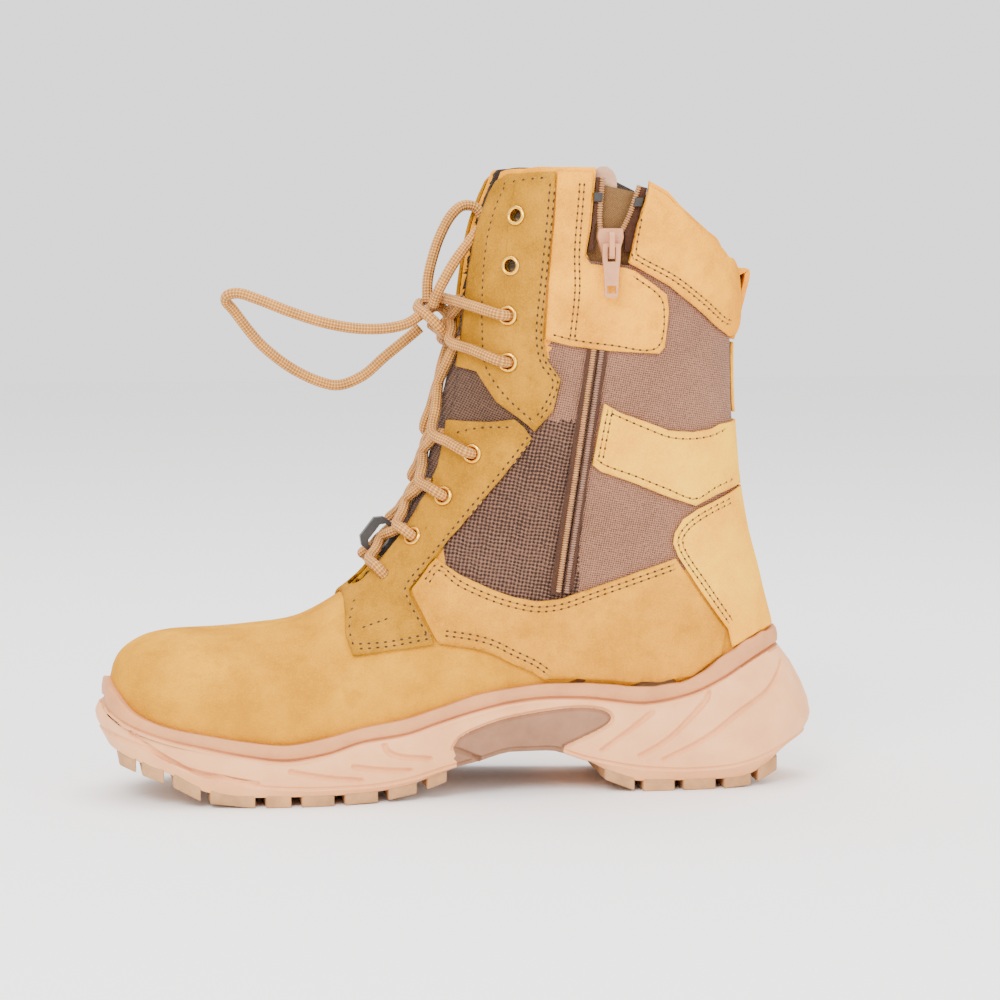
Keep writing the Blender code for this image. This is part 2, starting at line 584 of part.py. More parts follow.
def throat_form(clearance):
    # The cutter that opens the throat, reaching past the wall on both sides of it
    start = ridge_place(THROAT_START)
    rounded = start + THROAT_ROUND * np.array([0, 0.15, 0.5])
    places = np.concatenate([rounded, np.linspace(start + THROAT_ROUND, SECTION_PLACES[-1], 10)])
    depth = 14 * MM
    rings = []
    for place in places:
        front = front_point(place)
        forward = front - back_point(place)
        forward /= np.linalg.norm(forward)
        half = throat_half(place) + clearance
        aside = np.array([0, half, 0])
        rings.append([front + forward * depth - aside, front + forward * depth + aside,
                      front - forward * depth + aside, front - forward * depth - aside])
    return tube_of_rings(rings)


SIDE_NET = {side: None for side in (-1, 1)}


def on_side(point, side):
    # Place and angle on the last of a side view point; side is -1 for medial, 1 for lateral
    if SIDE_NET[side] is None:
        places = np.linspace(0, SECTION_PLACES[-1], 240)
        angles = np.linspace(0, side * math.pi, 72)
        grid = on_last(places[:, None], angles[None, :])
        faces = []
        for r in range(len(places) - 1):
            for i in range(len(angles) - 1):
                n = r * len(angles) + i
                faces.append((n, n + 1, n + 1 + len(angles), n + len(angles)))
        tree = BVHTree.FromPolygons([Vector(p) for p in grid.reshape(-1, 3)], faces)
        SIDE_NET[side] = (tree, places, angles, grid)
    tree, places, angles, grid = SIDE_NET[side]
    start = Vector((point.along * SOLE_LENGTH, side * BALL_WIDTH, point.up * BOOT_HEIGHT))
    hit, _, index, _ = tree.ray_cast(start, Vector((0, -side, 0)))
    row, step = divmod(index, len(angles) - 1)
    corner = grid[row, step]
    sideways = grid[row, step + 1] - corner
    ahead = grid[row + 1, step] - corner
    share = np.linalg.lstsq(np.stack([ahead, sideways], axis=1), np.array(hit) - corner, rcond=None)[0]
    return (places[row] + share[0] * (places[1] - places[0]),
            angles[step] + share[1] * (angles[1] - angles[0]))


def angle_at(place, reach):
    # The angle at which the last lies a distance to the side of its front ridge
    angles = np.linspace(-1.4, 1.4, 120)
    reaches = on_last(np.full(120, place), angles)[:, 1] - front_point(place)[1]
    return float(np.interp(reach, reaches, angles))


def frame_at(place, angle):
    # A point on the last with its outward, forward and sideways directions
    point = on_last(place, angle)
    outward = off_last(place, angle, 1.0) - point
    ahead = on_last(place + 0.5 * MM, angle) - on_last(place - 0.5 * MM, angle)
    ahead /= np.linalg.norm(ahead)
    return point, outward, ahead, np.cross(outward, ahead)


def form_at(offset):
    return helper("form_%s_%.1f" % ("in" if offset < 0 else "out", abs(offset) / MM),
                  last_form, offset)


def overlay(name, outline, finish, span, low=GAP, high=GAP + OVERLAY):
    # A sheet cut between two larger forms of the last, inside a side view outline
    piece = new_piece(name, *side_prism(outline, *span, GAP / 2), finish)
    shape_with(piece, form_at(high), "INTERSECT")
    shape_with(piece, form_at(low))
    return piece


MEDIAL = (-BALL_WIDTH, 0.0)
LATERAL = (0.0, BALL_WIDTH)
BOTH_SIDES = (-BALL_WIDTH, BALL_WIDTH)
SIDES = ((-1, "medial", MEDIAL), (1, "lateral", LATERAL))


def over_rim(start, end, count):
    # Side view points just over the sole's rim between two shares of the length
    return tuple(Along(along, float(side_height("rim", along * SOLE_LENGTH) + RIM_CLEARANCE) / BOOT_HEIGHT)
                 for along in np.linspace(start, end, count))


def build_upper():
    vertices, faces = last_form(0.0)
    upper = new_piece("upper", vertices, faces, SUEDE)
    shape_with(upper, form_at(-WALL))
    shape_with(upper, helper("cut_underneath", last_form, -WALL, WALL + 2 * MM))
    sky = [Along(0.5, 0.84), Along(0.5, 1.2), Along(-0.2, 1.2), Along(-0.2, 0.986)]
    shape_with(upper, helper("cut_collar", side_prism, list(COLLAR_LINE) + sky, *BOTH_SIDES))
    shape_with(upper, helper("cut_throat", throat_form, 0.0))
    shape_with(upper, helper("cut_notch", side_prism, NOTCH_LINE, *MEDIAL))
    shape_with(upper, helper("cut_eyelet_holes", hole_cutter))
    join_flat_faces(upper)
    return upper


def build_tongue():
    # A curved sheet that follows the inside of the front, from under the vamp to its top edge
    start = ridge_place(THROAT_START) - TONGUE_ROOT
    end = ridge_place(TONGUE_TOP)
    places = ring_places()
    places = [start, *places[(places > start + GAP) & (places < end - GAP)], end]
    angles = np.arange(-TONGUE_STEPS, TONGUE_STEPS + 1) * 2 * math.pi / RING_SEGMENTS
    rings = []
    for place in places:
        outer = off_last(place, angles, np.full(len(angles), -(WALL + GAP)))
        inner = off_last(place, angles[::-1], np.full(len(angles), -(WALL + GAP + TONGUE)))
        rings.append(list(outer) + list(inner))
    return new_piece("tongue", *tube_of_rings(rings), NYLON)


def closed_spline(points, steps):
    # Points on a centripetal curve through a closed row of points
    points = np.asarray(points, float)
    count = len(points)
    out = []
    for i in range(count):
        p = [points[(i + k - 1) % count] for k in range(4)]
        knots = [0.0]
        for a, b in zip(p, p[1:]):
            knots.append(knots[-1] + max(np.linalg.norm(b - a), 1e-9) ** 0.5)
        for s in range(steps):
            t = knots[1] + (knots[2] - knots[1]) * s / steps
            a = [((knots[k + 1] - t) * p[k] + (t - knots[k]) * p[k + 1]) / (knots[k + 1] - knots[k])
                 for k in range(3)]
            b = [((knots[k + 2] - t) * a[k] + (t - knots[k]) * a[k + 1]) / (knots[k + 2] - knots[k])
                 for k in range(2)]
            out.append(((knots[2] - t) * b[0] + (t - knots[1]) * b[1]) / (knots[2] - knots[1]))
    return np.array(out)


def sole_plan():
    # The sole's outline seen from above, and the outward direction at each of its points
    lateral = [(row.along * SOLE_LENGTH, row.lateral * SOLE_WIDTH) for row in SOLE_OUTLINE]
    medial = [(row.along * SOLE_LENGTH, row.medial * SOLE_WIDTH) for row in SOLE_OUTLINE[1:-1]]
    loop = closed_spline(lateral + medial[::-1], OUTLINE_STEPS)
    tangent = np.roll(loop, -1, axis=0) - np.roll(loop, 1, axis=0)
    outward = np.stack([-tangent[:, 1], tangent[:, 0]], axis=1)
    outward /= np.linalg.norm(outward, axis=1)[:, None]
    middle = loop.mean(axis=0)
    if np.sum((loop - middle) * outward) < 0:
        outward = -outward
    return loop, outward


SIDE_PLACES = column(SOLE_SIDE, "along") * SOLE_LENGTH
SIDE_CURVES = {name: smooth_curve(SIDE_PLACES, column(SOLE_SIDE, name))
               for name in SideLine._fields[1:]}


def side_height(name, along):
    return SIDE_CURVES[name](along) * BOOT_HEIGHT


def rim_line(loop, outward):
    # Where the rand's inner face meets the upper, found from outside at the rim's height
    vertices, faces = last_form(0.0)
    tree = BVHTree.FromPolygons([Vector(v) for v in vertices], faces)
    found = []
    for point, out in zip(loop, outward):
        height = float(side_height("rim", point[0]))
        start = Vector((point[0] + out[0] * 0.05, point[1] + out[1] * 0.05, height))
        hit = tree.ray_cast(start, Vector((-out[0], -out[1], 0)))[0]
        found.append((hit.x, hit.y))
    return np.array(found)


def sole_rings():
    # Loops of the sole's side from the rim down to the tread's lower edge
    loop, outward = sole_plan()
    rim = rim_line(loop, outward)
    along = loop[:, 0]
    heights = {name: side_height(name, along) for name in ("rim", "groove", "belly", "edge", "ground")}
    tuck = SIDE_CURVES["tuck"](along) * SOLE_WIDTH
    top = rim + outward * (RAND + GAP)
    panel = top + outward * GROOVE_DEPTH
    drop = heights["groove"] - heights["belly"]

    def level(plan, height):
        return [np.array([p[0], p[1], z]) for p, z in zip(plan, height)]

    upper_belly = 0.3 * panel + 0.7 * loop
    tread_low = heights["ground"] + LUG_HEIGHT
    rows = [
        level(top - outward * 0.8 * MM, heights["rim"]),
        level(top, heights["rim"] - 0.8 * MM),
        level(top + outward * 0.6 * MM, heights["groove"] + 1.2 * MM),
        level(top - outward * GROOVE_DEPTH * 0.5, heights["groove"]),
        level(panel, heights["groove"] - 1.2 * MM),
        level(upper_belly, heights["belly"] + 0.45 * drop),
        level(loop, heights["belly"]),
        level(loop - outward * 0.25 * tuck[:, None], heights["edge"] + 1.0 * MM),
        level(loop - outward * (0.25 * tuck[:, None] + GROOVE_DEPTH), heights["edge"]),
        level(loop - outward * 0.35 * tuck[:, None], heights["edge"] - 1.0 * MM),
        level(loop - outward * tuck[:, None], np.minimum(tread_low, heights["edge"] - 1.6 * MM)),
    ]
    return rows


def strip_lid(first, count, flip):
    # Faces across a closed loop that starts at the toe tip and comes back to it
    faces = []
    for i in range(count // 2):
        a, b = first + i, first + i + 1
        c, d = first + (count - i - 1) % count, first + (count - i) % count
        face = (a, b, c) if i == 0 else (a, b, c, d)
        if b == c:
            face = (a, b, d)
        faces.append(face[::-1] if flip else face)
    return faces


def lug_forms():
    # Blocks under the tread, three to a row, that reach the ground line
    loop, outward = sole_plan()
    half = len(loop) // 2
    lateral = loop[:half + 1]
    medial = np.concatenate([loop[:1], loop[half:][::-1]])
    inset = 0.045 * SOLE_WIDTH
    vertices, faces = [], []

    def side_at(line, along, sign):
        order = np.argsort(line[:, 0])
        return np.interp(along, line[order, 0], line[order, 1]) - sign * inset

    for row in LUG_ROWS:
        ends = (row.start * SOLE_LENGTH, row.end * SOLE_LENGTH)
        spans = []
        for along in ends:
            outer_m = side_at(medial, along, -1)
            outer_l = side_at(lateral, along, 1)
            width = outer_l - outer_m
            spans.append([outer_m + width * s for s in (0, 0.27, 0.36, 0.64, 0.73, 1)])
        for k in (0, 2, 4):
            first = len(vertices)
            for along, span in zip(ends, spans):
                ground = float(side_height("ground", along))
                for y in (span[k], span[k + 1]):
                    vertices.append((along, y, ground))
                    vertices.append((along, y, ground + LUG_HEIGHT + 1.5 * MM))
            faces += [tuple(first + n for n in f) for f in (
                (0, 1, 3, 2), (4, 6, 7, 5), (0, 4, 5, 1), (2, 3, 7, 6), (0, 2, 6, 4), (1, 5, 7, 3))]
    return vertices, faces


def groove_forms(vertices, faces):
    # Bars along the sole's side grooves, sunk into the blank to the groove's depth
    blank = BVHTree.FromPolygons([Vector(v) for v in vertices], faces)
    forms = []
    for side, label in ((-1, "medial"), (1, "lateral")):
        for number, line in enumerate(SOLE_GROOVES):
            points = np.array([(p.along * SOLE_LENGTH, p.up * BOOT_HEIGHT) for p in line])
            rings = []
            for i, point in enumerate(points):
                run = points[min(i + 1, len(points) - 1)] - points[max(i - 1, 0)]
                run = np.array([-run[1], run[0]]) / np.linalg.norm(run) * SIDE_GROOVE_WIDTH / 2
                start = Vector((point[0], side * BALL_WIDTH, point[1]))
                hit = blank.ray_cast(start, Vector((0, -side, 0)))[0]
                deep = hit.y - side * GROOVE_DEPTH
                out = hit.y + side * 8 * MM
                (xa, za), (xb, zb) = point - run, point + run
                rings.append([(xa, deep, za), (xb, deep, zb), (xb, out, zb), (xa, out, za)])
            forms.append(("groove_%s_%d" % (label, number + 1), tube_of_rings(rings)))
    return forms


def build_outsole():
    rows = sole_rings()
    count = len(rows[0])
    vertices = [p for row in rows for p in row]
    faces = []
    for r in range(len(rows) - 1):
        for i in range(count):
            j = (i + 1) % count
            faces.append((r * count + i, (r + 1) * count + i, (r + 1) * count + j, r * count + j))
    faces += strip_lid(0, count, False)
    faces += strip_lid((len(rows) - 1) * count, count, True)
    outsole = new_piece("outsole", vertices, faces, RUBBER)
    grooves = groove_forms(vertices, faces)
    shape_with(outsole, form_at(GAP))
    shape_with(outsole, helper("add_lugs", lug_forms), "UNION")
    for name, form in grooves:
        shape_with(outsole, helper(name, lambda made=form: made))
    join_flat_faces(outsole)
    return outsole


def build_insole():
    # Lies on the sole's bed inside the upper's walls
    insole = new_piece("insole", *last_form(-(WALL + 1.5 * GAP), WALL), LINING)
    places = ring_places()
    bed = back_point(places[places <= place_of("heel_c")])
    top = [(p[0], p[2] + INSOLE) for p in bed]
    top[0] = (-0.5 * SOLE_LENGTH, top[0][1])
    top.append((0.5 * SOLE_LENGTH, top[-1][1]))
    outline = top + [(0.5 * SOLE_LENGTH, 1.2 * BOOT_HEIGHT), (-0.5 * SOLE_LENGTH, 1.2 * BOOT_HEIGHT)]
    shares = [Along(x / SOLE_LENGTH, z / BOOT_HEIGHT) for x, z in outline]
    shape_with(insole, helper("cut_over_insole", side_prism, shares, *BOTH_SIDES))
    return insole


def hole_radius(number):
    # Holes hold a ring's barrel, apart from the punched one at the bottom
    return (EYELET_BARREL / 2 + GAP) if number < RINGED_EYELETS else EYELET_HOLE / 2


def round_ring(frame, radius, height, count):
    # Points round an eyelet's axis at a height over the last
    point, outward, ahead, aside = frame
    turns = np.arange(count) * 2 * math.pi / count
    return [point + outward * height + radius * (ahead * math.cos(t) + aside * math.sin(t))
            for t in turns]


def hole_cutter():
    # A hole at every eyelet through facing and upper, with a flat seat where the facing is hollow
    vertices, faces = [], []
    seat = GAP + OVERLAY
    for side, _, _ in SIDES:
        for number, spot in enumerate(EYELETS):
            frame = frame_at(*on_side(spot, side))
            radius = hole_radius(number)
            steps = [(radius, -WALL - 3 * MM), (radius, seat + 4 * MM)]
            if FIRST_SEAT <= number < RINGED_EYELETS:
                wide = EYELET_FLANGE / 2 + GAP
                steps[1:] = [(radius, seat), (wide, seat), (wide, seat + 4 * MM)]
            points, sides = tube_of_rings([round_ring(frame, *step, ROUND_STEPS) for step in steps])
            faces += [tuple(n + len(vertices) for n in face) for face in sides]
            vertices += points
    return vertices, faces


def build_overlays():
    holes = helper("cut_eyelet_holes", hole_cutter)
    throat = helper("cut_throat_edge", throat_form, GAP)
    quarter = QUARTER + over_rim(*QUARTER_LOW, 7) + QUARTER_FRONT
    for _, label, span in SIDES:
        facing = overlay("facing_upper_" + label, UPPER_FACING, SUEDE, span)
        shape_with(facing, throat)
        shape_with(facing, holes)
        join_flat_faces(facing)
        overlay("quarter_" + label, quarter, SUEDE, span)
    facing = overlay("facing_lower", LOWER_FACING, SUEDE, BOTH_SIDES)
    shape_with(facing, throat)
    shape_with(facing, holes)
    join_flat_faces(facing)
    counter = COUNTER + over_rim(*COUNTER_LOW, 6) + (Along(0.500, 0.486),)
    overlay("heel_counter", counter, SUEDE, BOTH_SIDES)
    overlay("collar_pad", COLLAR_PAD, SUEDE, BOTH_SIDES, high=GAP + COLLAR_PADDING)
    overlay("ankle_strap", STRAP, SUEDE, BOTH_SIDES)
    overlay("backstay", BACKSTAY, SUEDE, (-BACKSTAY_HALF, BACKSTAY_HALF))
    overlay("zip_guard", GUARD + GUARD_NOTCH, SUEDE, MEDIAL)
    overlay("collar_side_lateral", GUARD + GUARD_LATERAL, SUEDE, LATERAL)


def build_zip():
    overlay("zip_tape_front", ZIP_FRONT_TAPE, NYLON, MEDIAL, high=1.5 * MM)
    overlay("zip_tape_rear", ZIP_REAR_TAPE, NYLON, MEDIAL, high=1.5 * MM)
    overlay("zip_edge_front", ZIP_FRONT_EDGE, NYLON, MEDIAL, -WALL + GAP, 0.0)
    overlay("zip_edge_rear", ZIP_REAR_EDGE, NYLON, MEDIAL, -WALL + GAP, 0.0)
    overlay("zip_gusset", ZIP_GUSSET, NYLON, MEDIAL, -WALL - GAP - 1.2 * MM, -WALL - GAP)
    overlay("zip_stop_front", ZIP_FRONT_STOP, BLACK, MEDIAL, GAP, 2.4 * MM)
    overlay("zip_stop_rear", ZIP_REAR_STOP, BLACK, MEDIAL, GAP, 2.4 * MM)
    slider = overlay("zip_slider", ZIP_SLIDER, ZIP_METAL, MEDIAL, -1.2 * MM, SLIDER_TOP)
    point, out, beside = slider_frame()
    shape_with(slider, helper("add_bridge", bridge_form, point, out, beside), "UNION")
    hinge = point + out * HINGE_OUT
    pull = new_piece("zip_pull", *plate_form(PULL_OUTLINE, out, beside, PULL_THICKNESS / 2), ZIP_METAL)
    pull.location = hinge
    for name, outline in (("cut_pull_opening", PULL_OPENING), ("cut_pull_hole", PULL_HOLE)):
        cutter = helper(name, plate_form, outline, out, beside, PULL_THICKNESS)
        cutter.location = hinge
        shape_with(pull, cutter)


def slider_frame():
    # Middle of the slider on the last, with level directions out from the boot and beside it
    point, outward, _, _ = frame_at(*on_side(SLIDER_MIDDLE, -1))
    out = np.array([outward[0], outward[1], 0.0])
    out /= np.linalg.norm(out)
    return point, out, np.cross(out, np.array([0.0, 0.0, 1.0]))


def bridge_form(point, out, beside):
    # The arch over the slider that the pull's bar hangs under
    up = np.array([0.0, 0.0, 1.0])
    low, under, top = SLIDER_TOP - 0.8 * MM, BRIDGE_UNDERSIDE, BRIDGE_UNDERSIDE + 1.2 * MM
    profile = ((-5.6, low), (-5.6, top - 1.0 * MM), (-4.6, top), (4.6, top), (5.6, top - 1.0 * MM),
               (5.6, low), (4.4, low), (4.4, under), (-4.4, under), (-4.4, low))
    sides = [[point + up * above * MM + out * reach + beside * half for above, reach in profile]
             for half in (-BRIDGE_HALF, BRIDGE_HALF)]
    return prism_between(*sides)


def plate_form(outline, out, beside, half):
    # A flat outline in the pull's plane, thickened to both sides of it
    up = np.array([0.0, 0.0, 1.0])
    sides = [[beside * spot.beside * MM + up * spot.above * MM + out * reach for spot in outline]
             for reach in (-half, half)]
    return prism_between(*sides)


def build_loop():
    # The pull loop at the back of the collar, one folded strip
    loop = new_piece("pull_loop", *side_prism(LOOP_STRIP, -LOOP_HALF, LOOP_HALF), SUEDE)
    shape_with(loop, form_at(GAP + COLLAR_PADDING + GAP))


def build_eyelets():
    face = GAP + OVERLAY + GAP
    profile = ((EYELET_HOLE / 2, -WALL + GAP), (EYELET_HOLE / 2, face + EYELET_HEIGHT),
               (EYELET_FLANGE / 2, face + 0.3 * EYELET_HEIGHT), (EYELET_BARREL / 2, face))
    for side, label, _ in SIDES:
        for number in range(RINGED_EYELETS):
            frame = frame_at(*on_side(EYELETS[number], side))
            vertices = [p for radius, height in profile
                        for p in round_ring(frame, radius, height, ROUND_STEPS)]
            faces = []
            for k in range(len(profile)):
                for i in range(ROUND_STEPS):
                    j = (i + 1) % ROUND_STEPS
                    a, b = k * ROUND_STEPS, (k + 1) % len(profile) * ROUND_STEPS
                    faces.append((a + i, a + j, b + j, b + i))
            new_piece("eyelet_%s_%d" % (label, number + 1), vertices, faces, BRASS)


def tube_along(points, radii):
    # A round tube through points, closed at both ends
    points = np.array(points)
    side = None
    rings = []
    for i, point in enumerate(points):
        run = points[min(i + 1, len(points) - 1)] - points[max(i - 1, 0)]
        run /= np.linalg.norm(run)
        if side is None:
            side = np.cross(run, (0.3, 0.2, 1.0))
        side = side - run * np.dot(side, run)
        side /= np.linalg.norm(side)
        other = np.cross(run, side)
        turns = np.arange(LACE_SIDES) * 2 * math.pi / LACE_SIDES
        rings.append([point + radii[i] * (side * math.cos(t) + other * math.sin(t)) for t in turns])
    return tube_of_rings(rings)


def into_eyelet(number, side):
    # The last points of a lace that comes over the facing and turns down into an eyelet
    place, angle = on_side(EYELETS[number], side)
    point, outward, _, _ = frame_at(place, angle)
    edge = side * throat_half(place)
    edge_angle = angle_at(place, edge)
    toward = off_last(place, edge_angle, 0.0) - point
    toward -= outward * np.dot(toward, outward)
    toward /= np.linalg.norm(toward)
    rise = 0.0 if number < RINGED_EYELETS else 1.0 * MM
    middle = off_last(place, (angle + edge_angle) / 2, 5.3 * MM)
    return [off_last(place, edge_angle, 5.8 * MM), middle,
            point + outward * (6.0 * MM - rise) + toward * 5.0 * MM,
            point + outward * (5.5 * MM - rise) + toward * 1.7 * MM,
            point + outward * (3.6 * MM - rise)]


def strand(crossing, side):
    # A lace from under one facing's edge, across the tongue, to the next eyelet on the far side
    start = on_side(EYELETS[crossing.start], side)[0]
    end = on_side(EYELETS[crossing.end], -side)[0]
    reach = throat_half(start) - 2.0 * MM
    first = off_last(start, angle_at(start, side * reach), 0.4 * MM)
    early = 0.75 * start + 0.25 * end
    quarter = off_last(early, angle_at(early, side * reach * 0.5), (0.7 + crossing.height) * MM / 2)
    middle = off_last((start + end) / 2, 0.0, crossing.height * MM)
    late = 0.25 * start + 0.75 * end
    beyond = off_last(late, angle_at(late, -side * (throat_half(late) - 5.0 * MM)),
                      max(crossing.height, 3.4) * MM)
    points = [first, quarter, middle, beyond] + into_eyelet(crossing.end, -side)
    radii = [LACE / 2] * (len(points) - 1) + [LACE / 2 - 0.4 * MM]
    return tube_along(points, radii)


def build_laces():
    for number, crossing in enumerate(CROSSINGS):
        name = "lace_crossing_%d" % (number + 1)
        lace = new_piece(name, *strand(crossing, -1), CORD)
        shape_with(lace, helper("add_strand_%d" % (number + 1), strand, crossing, 1), "UNION")
    lace = new_piece("lace_top", *top_strand(-1), CORD)
    shape_with(lace, helper("add_top_strand", top_strand, 1), "UNION")


def top_strand(side):
    # A lace from behind the knot over the facing to the third eyelet
    place = on_side(EYELETS[2], side)[0]
    front = off_last(place, angle_at(place, -side * 1.5 * MM), 9.2 * MM)
    near = off_last(place, angle_at(place, side * 7.0 * MM), 7.4 * MM)
    points = [front, near] + into_eyelet(2, side)
    radii = [LACE / 2] * (len(points) - 1) + [LACE / 2 - 0.4 * MM]
    return tube_along(points, radii)


def cord(name, points, thickness):
    # A loose round cord through points in millimetres
    data = bpy.data.curves.new(name, "CURVE")
    data.dimensions = "3D"
    line = data.splines.new("POLY")
    line.points.add(len(points) - 1)
    for spot, point in zip(line.points, points):
        spot.co = (point.x * MM, point.y * MM, point.z * MM, 1.0)
    data.bevel_depth = thickness / 2
    data.bevel_resolution = 2
    data.render_resolution_u = 0
    data.use_fill_caps = True
    data.materials.append(material(name, *CORD))
    piece = bpy.data.objects.new(name, data)
    bpy.context.collection.objects.link(piece)
    return piece


def build_cords():
    cord("lace_knot", KNOT, KNOT_THICKNESS * MM)
    cord("lace_loop", LOOP, LACE)
    cord("lace_end_medial", END_MEDIAL, LACE)
    cord("lace_end_lateral", END_LATERAL, LACE)


def build_keeper():
    # A small ring round the lowest crossing
    places = [on_side(EYELETS[n], -1)[0] for n in (6, 7)]
    point, outward, ahead, _ = frame_at(sum(places) / 2, 0.0)
    beside = np.cross(outward, ahead)
    rings = []
    for half, outline in ((-KEEPER_HALF, KEEPER_OUTER), (KEEPER_HALF, KEEPER_OUTER),
                          (KEEPER_HALF, KEEPER_INNER), (-KEEPER_HALF, KEEPER_INNER)):
        rings.append([point + ahead * spot.ahead * MM + outward * spot.out * MM + beside * half
                      for spot in outline])
    count = len(KEEPER_OUTER)
    vertices = [p for ring in rings for p in ring]
    faces = []
    for k in range(4):
        for i in range(count):
            j = (i + 1) % count
            a, b = k * count, (k + 1) % 4 * count
            faces.append((a + i, a + j, b + j, b + i))
    new_piece("lace_keeper", vertices, faces, BLACK)


def build_boot():
    clear_scene()
    build_upper()
    build_tongue()
    build_outsole()
    build_insole()
    build_overlays()
    build_zip()
    build_loop()
    build_eyelets()
    build_laces()
    build_cords()
    build_keeper()


build_boot()
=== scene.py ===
# A combat boot with a side zip, dressed for the photograph. The toe points to -X.
import math

import bmesh
import bpy
import numpy as np
from mathutils import Matrix, Vector
from mathutils.bvhtree import BVHTree


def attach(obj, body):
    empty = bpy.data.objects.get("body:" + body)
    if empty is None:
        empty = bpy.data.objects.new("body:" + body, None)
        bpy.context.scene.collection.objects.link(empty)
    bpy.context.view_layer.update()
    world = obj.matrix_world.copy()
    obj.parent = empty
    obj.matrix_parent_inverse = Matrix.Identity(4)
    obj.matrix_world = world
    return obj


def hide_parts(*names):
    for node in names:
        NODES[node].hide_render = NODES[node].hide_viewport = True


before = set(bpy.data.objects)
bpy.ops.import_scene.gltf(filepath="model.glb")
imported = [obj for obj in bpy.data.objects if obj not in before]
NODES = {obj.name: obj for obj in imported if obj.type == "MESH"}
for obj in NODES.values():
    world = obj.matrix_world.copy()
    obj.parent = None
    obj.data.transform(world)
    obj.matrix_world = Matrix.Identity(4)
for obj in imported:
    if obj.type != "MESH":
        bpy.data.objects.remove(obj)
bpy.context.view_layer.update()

MM = 0.001
SOLE_LENGTH = 312 * MM
BOOT_HEIGHT = 266 * MM
BALL_WIDTH = 102 * MM
SOLE_WIDTH = 109 * MM
WALL = 2.2 * MM
GAP = 0.3 * MM
RAND = 3.2 * MM
LUG_HEIGHT = 4.5 * MM
LACE = 4.6 * MM
LENS = 125.57
SENSOR = 36
CAMERA_AT = (-0.1899, -1.4854, 0.262)
CAMERA_AIM = (0.01886, 0.0, 0.123)


# The camera stands on the inner side, level with the instep
def place_camera():
    data = bpy.data.cameras.new("photo_camera")
    data.lens = LENS
    data.sensor_width = SENSOR
    camera = bpy.data.objects.new("photo_camera", data)
    bpy.context.collection.objects.link(camera)
    camera.location = CAMERA_AT
    aim = Vector(CAMERA_AIM) - Vector(CAMERA_AT)
    camera.rotation_euler = aim.to_track_quat("-Z", "Y").to_euler()
    bpy.context.scene.camera = camera


place_camera()


# Numbers and curves
def smooth_curve(stations, values):
    x = np.asarray(stations, float)
    y = np.asarray(values, float)
    step = np.diff(x)
    slope = np.diff(y) / step
    tangent = np.zeros_like(y)
    tangent[0] = slope[0]
    tangent[-1] = slope[-1]
    for i in range(1, len(x) - 1):
        if slope[i - 1] * slope[i] > 0:
            before = 2 * step[i] + step[i - 1]
            after = step[i] + 2 * step[i - 1]
            tangent[i] = (before + after) / (before / slope[i - 1] + after / slope[i])

    def value(at):
        at = np.clip(np.asarray(at, float), x[0], x[-1])
        i = np.clip(np.searchsorted(x, at, side="right") - 1, 0, len(x) - 2)
        h = step[i]
        s = (at - x[i]) / h
        start = (2 * s ** 3 - 3 * s ** 2 + 1) * y[i] + (s ** 3 - 2 * s ** 2 + s) * h * tangent[i]
        end = (3 * s ** 2 - 2 * s ** 3) * y[i + 1] + (s ** 3 - s ** 2) * h * tangent[i + 1]
        return start + end

    return value


def spline_through(points, steps, closed=False):
    # A centripetal curve through points
    points = np.asarray(points, float)
    count = len(points)
    if closed:
        rows = [[points[(i + k - 1) % count] for k in range(4)] for i in range(count)]
    else:
        ends = np.concatenate([[2 * points[0] - points[1]], points, [2 * points[-1] - points[-2]]])
        rows = [ends[i:i + 4] for i in range(count - 1)]
    out = []
    for p in rows:
        knots = [0.0]
        for a, b in zip(p, p[1:]):
            knots.append(knots[-1] + max(np.linalg.norm(b - a), 1e-9) ** 0.5)
        for s in range(steps):
            t = knots[1] + (knots[2] - knots[1]) * s / steps
            a = [((knots[k + 1] - t) * p[k] + (t - knots[k]) * p[k + 1]) / (knots[k + 1] - knots[k])
                 for k in range(3)]
            b = [((knots[k + 2] - t) * a[k] + (t - knots[k]) * a[k + 1]) / (knots[k + 2] - knots[k])
                 for k in range(2)]
            out.append(((knots[2] - t) * b[0] + (t - knots[1]) * b[1]) / (knots[2] - knots[1]))
    if not closed:
        out.append(points[-1])
    return np.array(out)


def even_steps(points, pitch):
    # Points every pitch along a line, with the direction there
    points = np.asarray(points, float)
    runs = np.linalg.norm(np.diff(points, axis=0), axis=1)
    places = np.concatenate([[0], np.cumsum(runs)])
    count = max(int(places[-1] / pitch), 1)
    wanted = (np.arange(count) + 0.5) * places[-1] / count
    spots = np.stack([np.interp(wanted, places, points[:, k]) for k in range(points.shape[1])], axis=1)
    ahead = np.stack([np.interp(wanted + pitch * 0.3, places, points[:, k])
                      for k in range(points.shape[1])], axis=1)
    behind = np.stack([np.interp(wanted - pitch * 0.3, places, points[:, k])
                       for k in range(points.shape[1])], axis=1)
    return spots, ahead - behind


